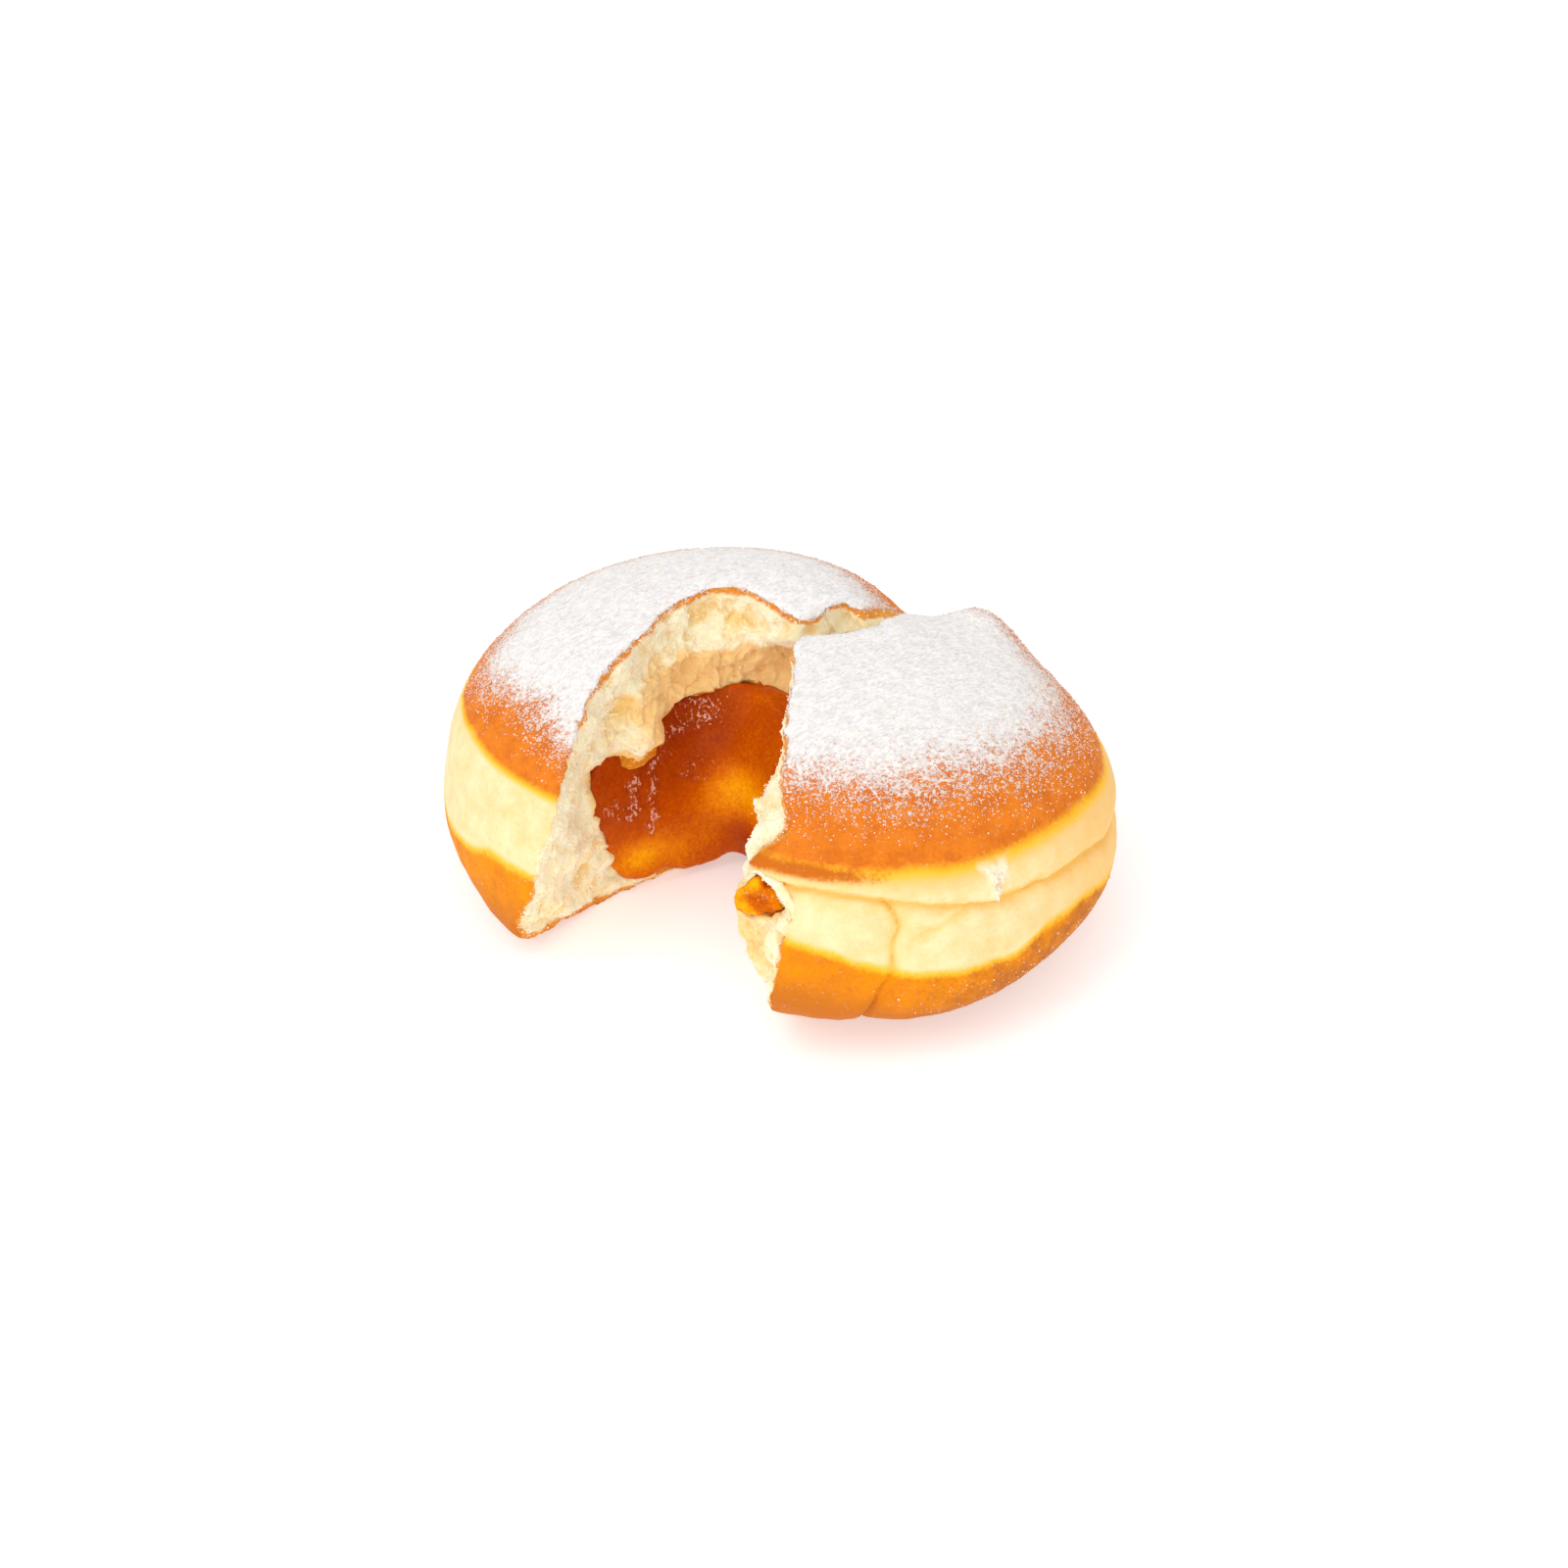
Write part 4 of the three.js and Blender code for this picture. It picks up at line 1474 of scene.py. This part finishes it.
    def _chip(self, places: np.ndarray) -> np.ndarray:
        """Where the torn end of the lip on the right half shows bare white dough.

        Args:
            places: Places in millimetres.

        Returns:
            How bare each place is, 0 to 1.
        """
        upright = self.bun.upright(places, RIGHT)
        angle = bearing(upright)
        above = upright[:, 2] - around(angle, *self.folds.fold)
        ragged = BUN_RADIUS * (angle - self.folds.lip_end) + 1.3 * swirl(places, 2.2, 3, 15.2)
        width = 0.9 + 0.35 * np.clip(above, 0.0, 6.0)
        high = rise(above, -0.6, 0.2) * (1 - rise(above, 4.5, 6.5))
        return (1 - rise(np.abs(ragged - 0.4) / width, 0.7, 1.3)) * high * (places[:, 1] < 0)

    @staticmethod
    def right_share(places: np.ndarray) -> np.ndarray:
        """How much each place belongs to the right half rather than the left."""
        x, y = places[:, 0] - JOIN[0] + 2, places[:, 1] - JOIN[1] + 1
        along_tear = 0.743 * x - 0.669 * y
        behind_join = 0.98 * x + 0.2 * y
        return rise(np.where(y < 0, along_tear, behind_join), -1.5, 1.5)

    def _skin(self, places: np.ndarray, depth: np.ndarray) -> dict[str, np.ndarray]:
        """Where the skin is browned and how densely sugar lies on it.

        Args:
            places: Places before the crumb was roughened.
            depth: How deep each lies under the skin.

        Returns:
            Rows of numbers by name.
        """
        share = self.right_share(places)
        rows = {name: np.zeros(len(places)) for name in ("top", "low", "sugar")}
        for half, weight in ((LEFT, 1 - share), (RIGHT, share)):
            upright = self.bun.upright(places, half)
            angle, level = bearing(upright), upright[:, 2]
            reach = np.hypot(upright[:, 0], upright[:, 1]) + 1.2 * swirl(places, 7.0, 2, 4.4)
            top = level - around(angle, *half.top_edge)
            density = rise(reach, around(angle, *half.bare) + 0.8, around(angle, *half.dense) - 2.0)
            rows["top"] += weight * top * half.crisp
            rows["low"] += weight * (around(angle, *half.low_edge) - level)
            rows["sugar"] += weight * density * (level > 24)
        # the loop ends with the right half, which has the lip
        above = level - around(angle, *self.folds.fold)
        lip = 0.6 * between(angle, *self.warm_lip) * rise(top, -3.2, -1.0) * rise(above, 0, 1)
        rows["curl"] = share * hump(top, -0.45, 1.15) * between(angle, *self.curled)
        rows["dry"] = share * between(angle, *self.dull_shaded_side)
        rows["warm"] = share * np.maximum(lip, 0.65 * between(angle, *self.warm_shaded_side))
        rows["chip"] = self._chip(places)
        rows["sugar"] += 0.02 * FALLEN.share(places) + 0.1 * rows["chip"]
        rows["sugar"] *= 1 - rise(depth, 0.3, 0.8)
        return rows


@dataclass
class Jelly:
    """The apricot jelly in the hollow, across the gap and at the front of the right half."""

    square: float = 0.5
    grown: float = 0.8
    patch_grown: float = 0.35
    rounds: int = 10
    """How often the mesh is smoothed."""
    glows: tuple = (
        (0.5, (-9.0, 7.0), (17.0, 4.5)),
        (0.55, (-24.0, 5.0), (7.5, 3.5)),
        (0.22, (-15.0, 7.0), (9.0, 5.0)),
        (-0.34, (-5.0, 4.0), (8.0, 4.5)),
        (-0.1, (-16.0, 5.0), (28.0, 5.0)),
    )
    # Spots painted brighter, partly as thin jelly and partly as light falling there, or darker as thick
    # jelly and painted shade if below zero: how much, and middle and half width on X and Z.
    """Spots that look thin, or thick if below zero: how much, and middle and half width on X and Z."""
    slopes: tuple = ((0.36, (-16.0, -2.0), (8.0, 18.0)), (-0.12, (-14.0, -6.0), (22.0, 29.0)))
    """The same for slopes: how much, and start and end on X and Z."""

    def build(self) -> bpy.types.Object:
        """Makes the jelly.

        Returns:
            The jelly in millimetres, with its numbers for the finish.
        """
        jelly = combine(make_lobes(JELLY_LOBES, self.grown), JELLY_FRONT.block(), Join.CUT)
        jelly = combine(jelly, PATCH.make(self.patch_grown), Join.ADD)
        even_out(jelly, self.square)
        self._shape(jelly)
        return jelly

    def _shape(self, jelly: bpy.types.Object) -> None:
        """Rounds, pulls and ripples the surface and stores the numbers for the finish.

        Args:
            jelly: The jelly to change.
        """
        shape = bmesh.new()
        shape.from_mesh(jelly.data)
        axes = {"use_axis_x": True, "use_axis_y": True, "use_axis_z": True}
        for _ in range(self.rounds):
            bmesh.ops.smooth_vert(shape, verts=shape.verts, factor=0.5, **axes)
        shape.to_mesh(jelly.data)
        shape.free()
        mesh = jelly.data
        places = corners(mesh)
        x, y, z = places.T
        patch = y < -33.0
        # Where the ripples and painted highlights lie, along the streaks and at the top of the front patch.
        ripples_and_glints = sum(streak.measure(x, z) for streak in STREAKS) * ~patch
        ripples_and_glints = ripples_and_glints + 0.5 * patch * hump(z, 30.0, 1.2)
        lift = 0.8 * swirl(places, 11.0, 2, 2.9) + 0.3 * swirl(places, 4.0, 2, 5.1)
        lift += 0.3 * ripples_and_glints * swirl(places * np.array([1.0, 1.0, 0.4]), 1.4, 2, 3.3)
        lift += patch * (0.6 * swirl(places, 2.4, 2, 9.9) + 0.35 * swirl(places, 1.1, 2, 3.9) - 0.15)
        place(mesh, places + outward(mesh) * lift[:, None])
        patch_glow = 0.62 + 0.45 * swirl(places, 2.2, 2, 4.7)
        # Thinness with painted light and shade on the main jelly, a cloudy thinness on the front patch
        thin_and_lit = np.clip(np.where(patch, patch_glow, self._thinness_and_light(x, z)), 0, 1)
        give(mesh, {"thin_and_lit": thin_and_lit, "ripples_and_glints": np.clip(ripples_and_glints, 0, 1)})

    def _thinness_and_light(self, x: np.ndarray, z: np.ndarray) -> np.ndarray:
        """How thin and how lit the jelly looks at each place of its front, seen from the front: partly its
        own thinness, with painted shade high up and painted light low down.
        """
        thin_and_lit = 0.08 + 0.22 * (1 - rise(z, 5.0, 26.0))
        thin_and_lit += sum(much * hump(x, *across) * hump(z, *up) for much, across, up in self.glows)
        return thin_and_lit + sum(much * rise(x, *across) * rise(z, *up) for much, across, up in self.slopes)


@dataclass
class Scatter:
    """Many small solid bits laid on a surface."""

    count: int
    size: tuple[float, float]
    """Smallest and largest width in millimetres; most are small."""
    seed: int
    shape: tuple[float, float, float] = (1.0, 1.0, 1.0)
    sunk: float = 0.2
    """How much of a bit's half width lies in the surface."""
    spread: float = 0.28
    """How far bits lie from the corners of the surface's mesh."""
    uneven: float = 0.35

    def build(
        self, name: str, base: bpy.types.Object, weight: np.ndarray, detail: int
    ) -> bpy.types.Object:
        """Scatters bits over a surface.

        Args:
            name: Name of the new piece.
            base: The surface to lay them on, in millimetres.
            weight: How likely each vertex of the surface is to carry one.
            detail: Subdivisions of each bit, or 0 for a small block.

        Returns:
            One object that holds all bits.
        """
        rng = np.random.default_rng(self.seed)
        places, normals = corners(base.data), outward(base.data)
        picked = rng.choice(len(places), self.count, p=weight / weight.sum())
        beside = self.spread * rng.normal(size=(self.count, 3))
        normal = normals[picked]
        beside -= (beside * normal).sum(1, keepdims=True) * normal
        small, large = self.size
        halves = (small + (large - small) * rng.uniform(0, 1, self.count) ** 2) / 2
        spots = places[picked] + beside + normal * (halves * (1 - self.sunk))[:, None]
        unit, faces = self._bit(detail)
        turns, _ = np.linalg.qr(rng.normal(size=(self.count, 3, 3)))
        dented = 1 + self.uneven * rng.uniform(-1, 1, (self.count, len(unit), 1))
        stretch = rng.uniform(0.7, 1.3, (self.count, 1, 3)) * np.array(self.shape)
        turned = np.einsum("nij,nkj->nki", turns, unit[None] * dented * stretch)
        points = spots[:, None] + turned * halves[:, None, None]
        rows = faces[None] + (np.arange(self.count) * len(unit))[:, None, None]
        mirrored = np.linalg.det(turns) < 0
        rows[mirrored] = rows[mirrored][:, :, ::-1]
        mesh = bpy.data.meshes.new(name)
        mesh.from_pydata(points.reshape(-1, 3), [], rows.reshape(-1, rows.shape[2]))
        return thing(name, mesh)

    @staticmethod
    def _bit(detail: int) -> tuple[np.ndarray, np.ndarray]:
        """Corners and faces of one plain bit.

        Args:
            detail: Its subdivisions, or 0 for a small block.

        Returns:
            Its corners and its faces.
        """
        shape = bmesh.new()
        if detail:
            bmesh.ops.create_icosphere(shape, subdivisions=detail, radius=1.0)
        else:
            bmesh.ops.create_cube(shape, size=1.5)
        bit = bpy.data.meshes.new("bit")
        shape.to_mesh(bit)
        shape.free()
        unit, faces = corners(bit), np.array([list(polygon.vertices) for polygon in bit.polygons])
        bpy.data.meshes.remove(bit)
        return unit, faces


# --------------------------------------------------------------------------- the studio


@dataclass(frozen=True)
class Studio:
    """A pale floor, soft light and the camera."""

    target: tuple[float, float, float] = (-0.02, 0.0, 18.34)
    """The place that the camera looks at, where the halves are laid out."""
    raised: float = 36.0
    """How many degrees the camera stands above the table."""
    distance: float = 700.0
    lens: float = 96.93
    panels: tuple = (("key", (-0.5, -0.42, 0.92), 0.6, 3.1), ("front", (0.0, -1.0, 0.45), 0.7, 2.6))
    """Lights: name, place and width in metres, and power in watts."""
    surround: float = 0.85
    floor_glow: float = 0.39

    def build(self) -> None:
        """Sets up the floor, the lights, the camera and the picture's tones."""
        self._floor()
        self._lights()
        self._camera()
        scene = bpy.context.scene
        scene.view_settings.view_transform = "Standard"
        scene.view_settings.look = "None"

    def _floor(self) -> None:
        """A wide plain floor."""
        shape = bmesh.new()
        bmesh.ops.create_grid(shape, x_segments=1, y_segments=1, size=4.0)
        mesh = bpy.data.meshes.new("floor")
        shape.to_mesh(mesh)
        shape.free()
        floor = thing("floor", mesh)
        mesh.materials.append(self._floor_finish())

    def _floor_finish(self) -> bpy.types.Material:
        """White glass of a table that is lit from below."""
        graph = Graph("floor_finish")
        colour = graph.mix(graph.cloud(400.0), (0.82, 0.82, 0.82, 1.0), (0.8, 0.8, 0.8, 1.0))
        glow = {"Emission Color": (1.0, 0.99, 0.98, 1.0), "Emission Strength": self.floor_glow}
        return graph.finish(graph.shader(colour, 0.9, {"Specular IOR Level": 0.1} | glow))

    def _lights(self) -> None:
        """One soft light from the left, a weak one from the front and an even surround."""
        for panel in self.panels:
            self._panel(*panel)
        world = bpy.data.worlds.new("surround")
        world.use_nodes = True
        inputs = world.node_tree.nodes["Background"].inputs
        inputs["Color"].default_value = (1.0, 1.0, 1.0, 1.0)
        inputs["Strength"].default_value = self.surround
        bpy.context.scene.world = world

    @staticmethod
    def _panel(name: str, spot: tuple[float, float, float], size: float, power: float) -> None:
        """Adds a square light that faces the doughnut.

        Args:
            name: The light's name.
            spot: Its place in metres.
            size: Its width in metres.
            power: Its power in watts.
        """
        light = bpy.data.lights.new(name, "AREA")
        light.size = size
        light.energy = power
        item = bpy.data.objects.new(name, light)
        bpy.context.scene.collection.objects.link(item)
        item.location = spot
        item.rotation_euler = (-Vector(spot)).to_track_quat("-Z", "Y").to_euler()

    def _camera(self) -> None:
        """Places the camera in front, looking down at the doughnut."""
        data = bpy.data.cameras.new("camera")
        data.lens = self.lens
        data.sensor_width = 36.0
        data.clip_start = 0.05
        camera = bpy.data.objects.new("camera", data)
        bpy.context.scene.collection.objects.link(camera)
        angle = math.radians(self.raised)
        back = np.array([0.0, -math.cos(angle), math.sin(angle)])
        target = (np.array(self.target) + SHIFT) * MM
        camera.location = Vector(target + back * self.distance * MM)
        camera.rotation_euler = (math.pi / 2 - angle, 0.0, 0.0)
        bpy.context.scene.camera = camera


# --------------------------------------------------------------------------- the whole


def main() -> None:
    """Builds the doughnut and its studio."""
    logging.basicConfig(level=logging.INFO, format="%(message)s")
    dough = Dough().build()
    jelly = Jelly().build()
    sugar = np.clip(stored(dough, "sugar"), 0, 1)
    fringe = (sugar * (1.02 - sugar)) ** 1.2
    grains = Scatter(13000, (0.1, 0.27), 7).build("sugar_grains", dough, fringe, 0)
    torn = (stored(dough, "depth") > 0.8) * (stored(dough, "wet") < 0.5) * (corners(dough.data)[:, 2] > 0.8)
    torn = torn * (1 - 0.9 * stored(dough, "stain").clip(0, 1))
    bits = Scatter(7000, (0.12, 0.42), 11, (1.3, 0.9, 0.6), 0.5).build("crumb_bits", dough, torn, 1)
    ship(dough, "torn_dough", DoughFinish().material(), ("dough",))
    ship(jelly, "apricot_jelly", JellyFinish().material(), ("jelly",))
    for item, finish in ((grains, GRAIN_FINISH), (bits, BIT_FINISH)):
        ship(item, item.name, finish.material(), ())
    Studio().build()


if __name__ == "__main__":
    main()
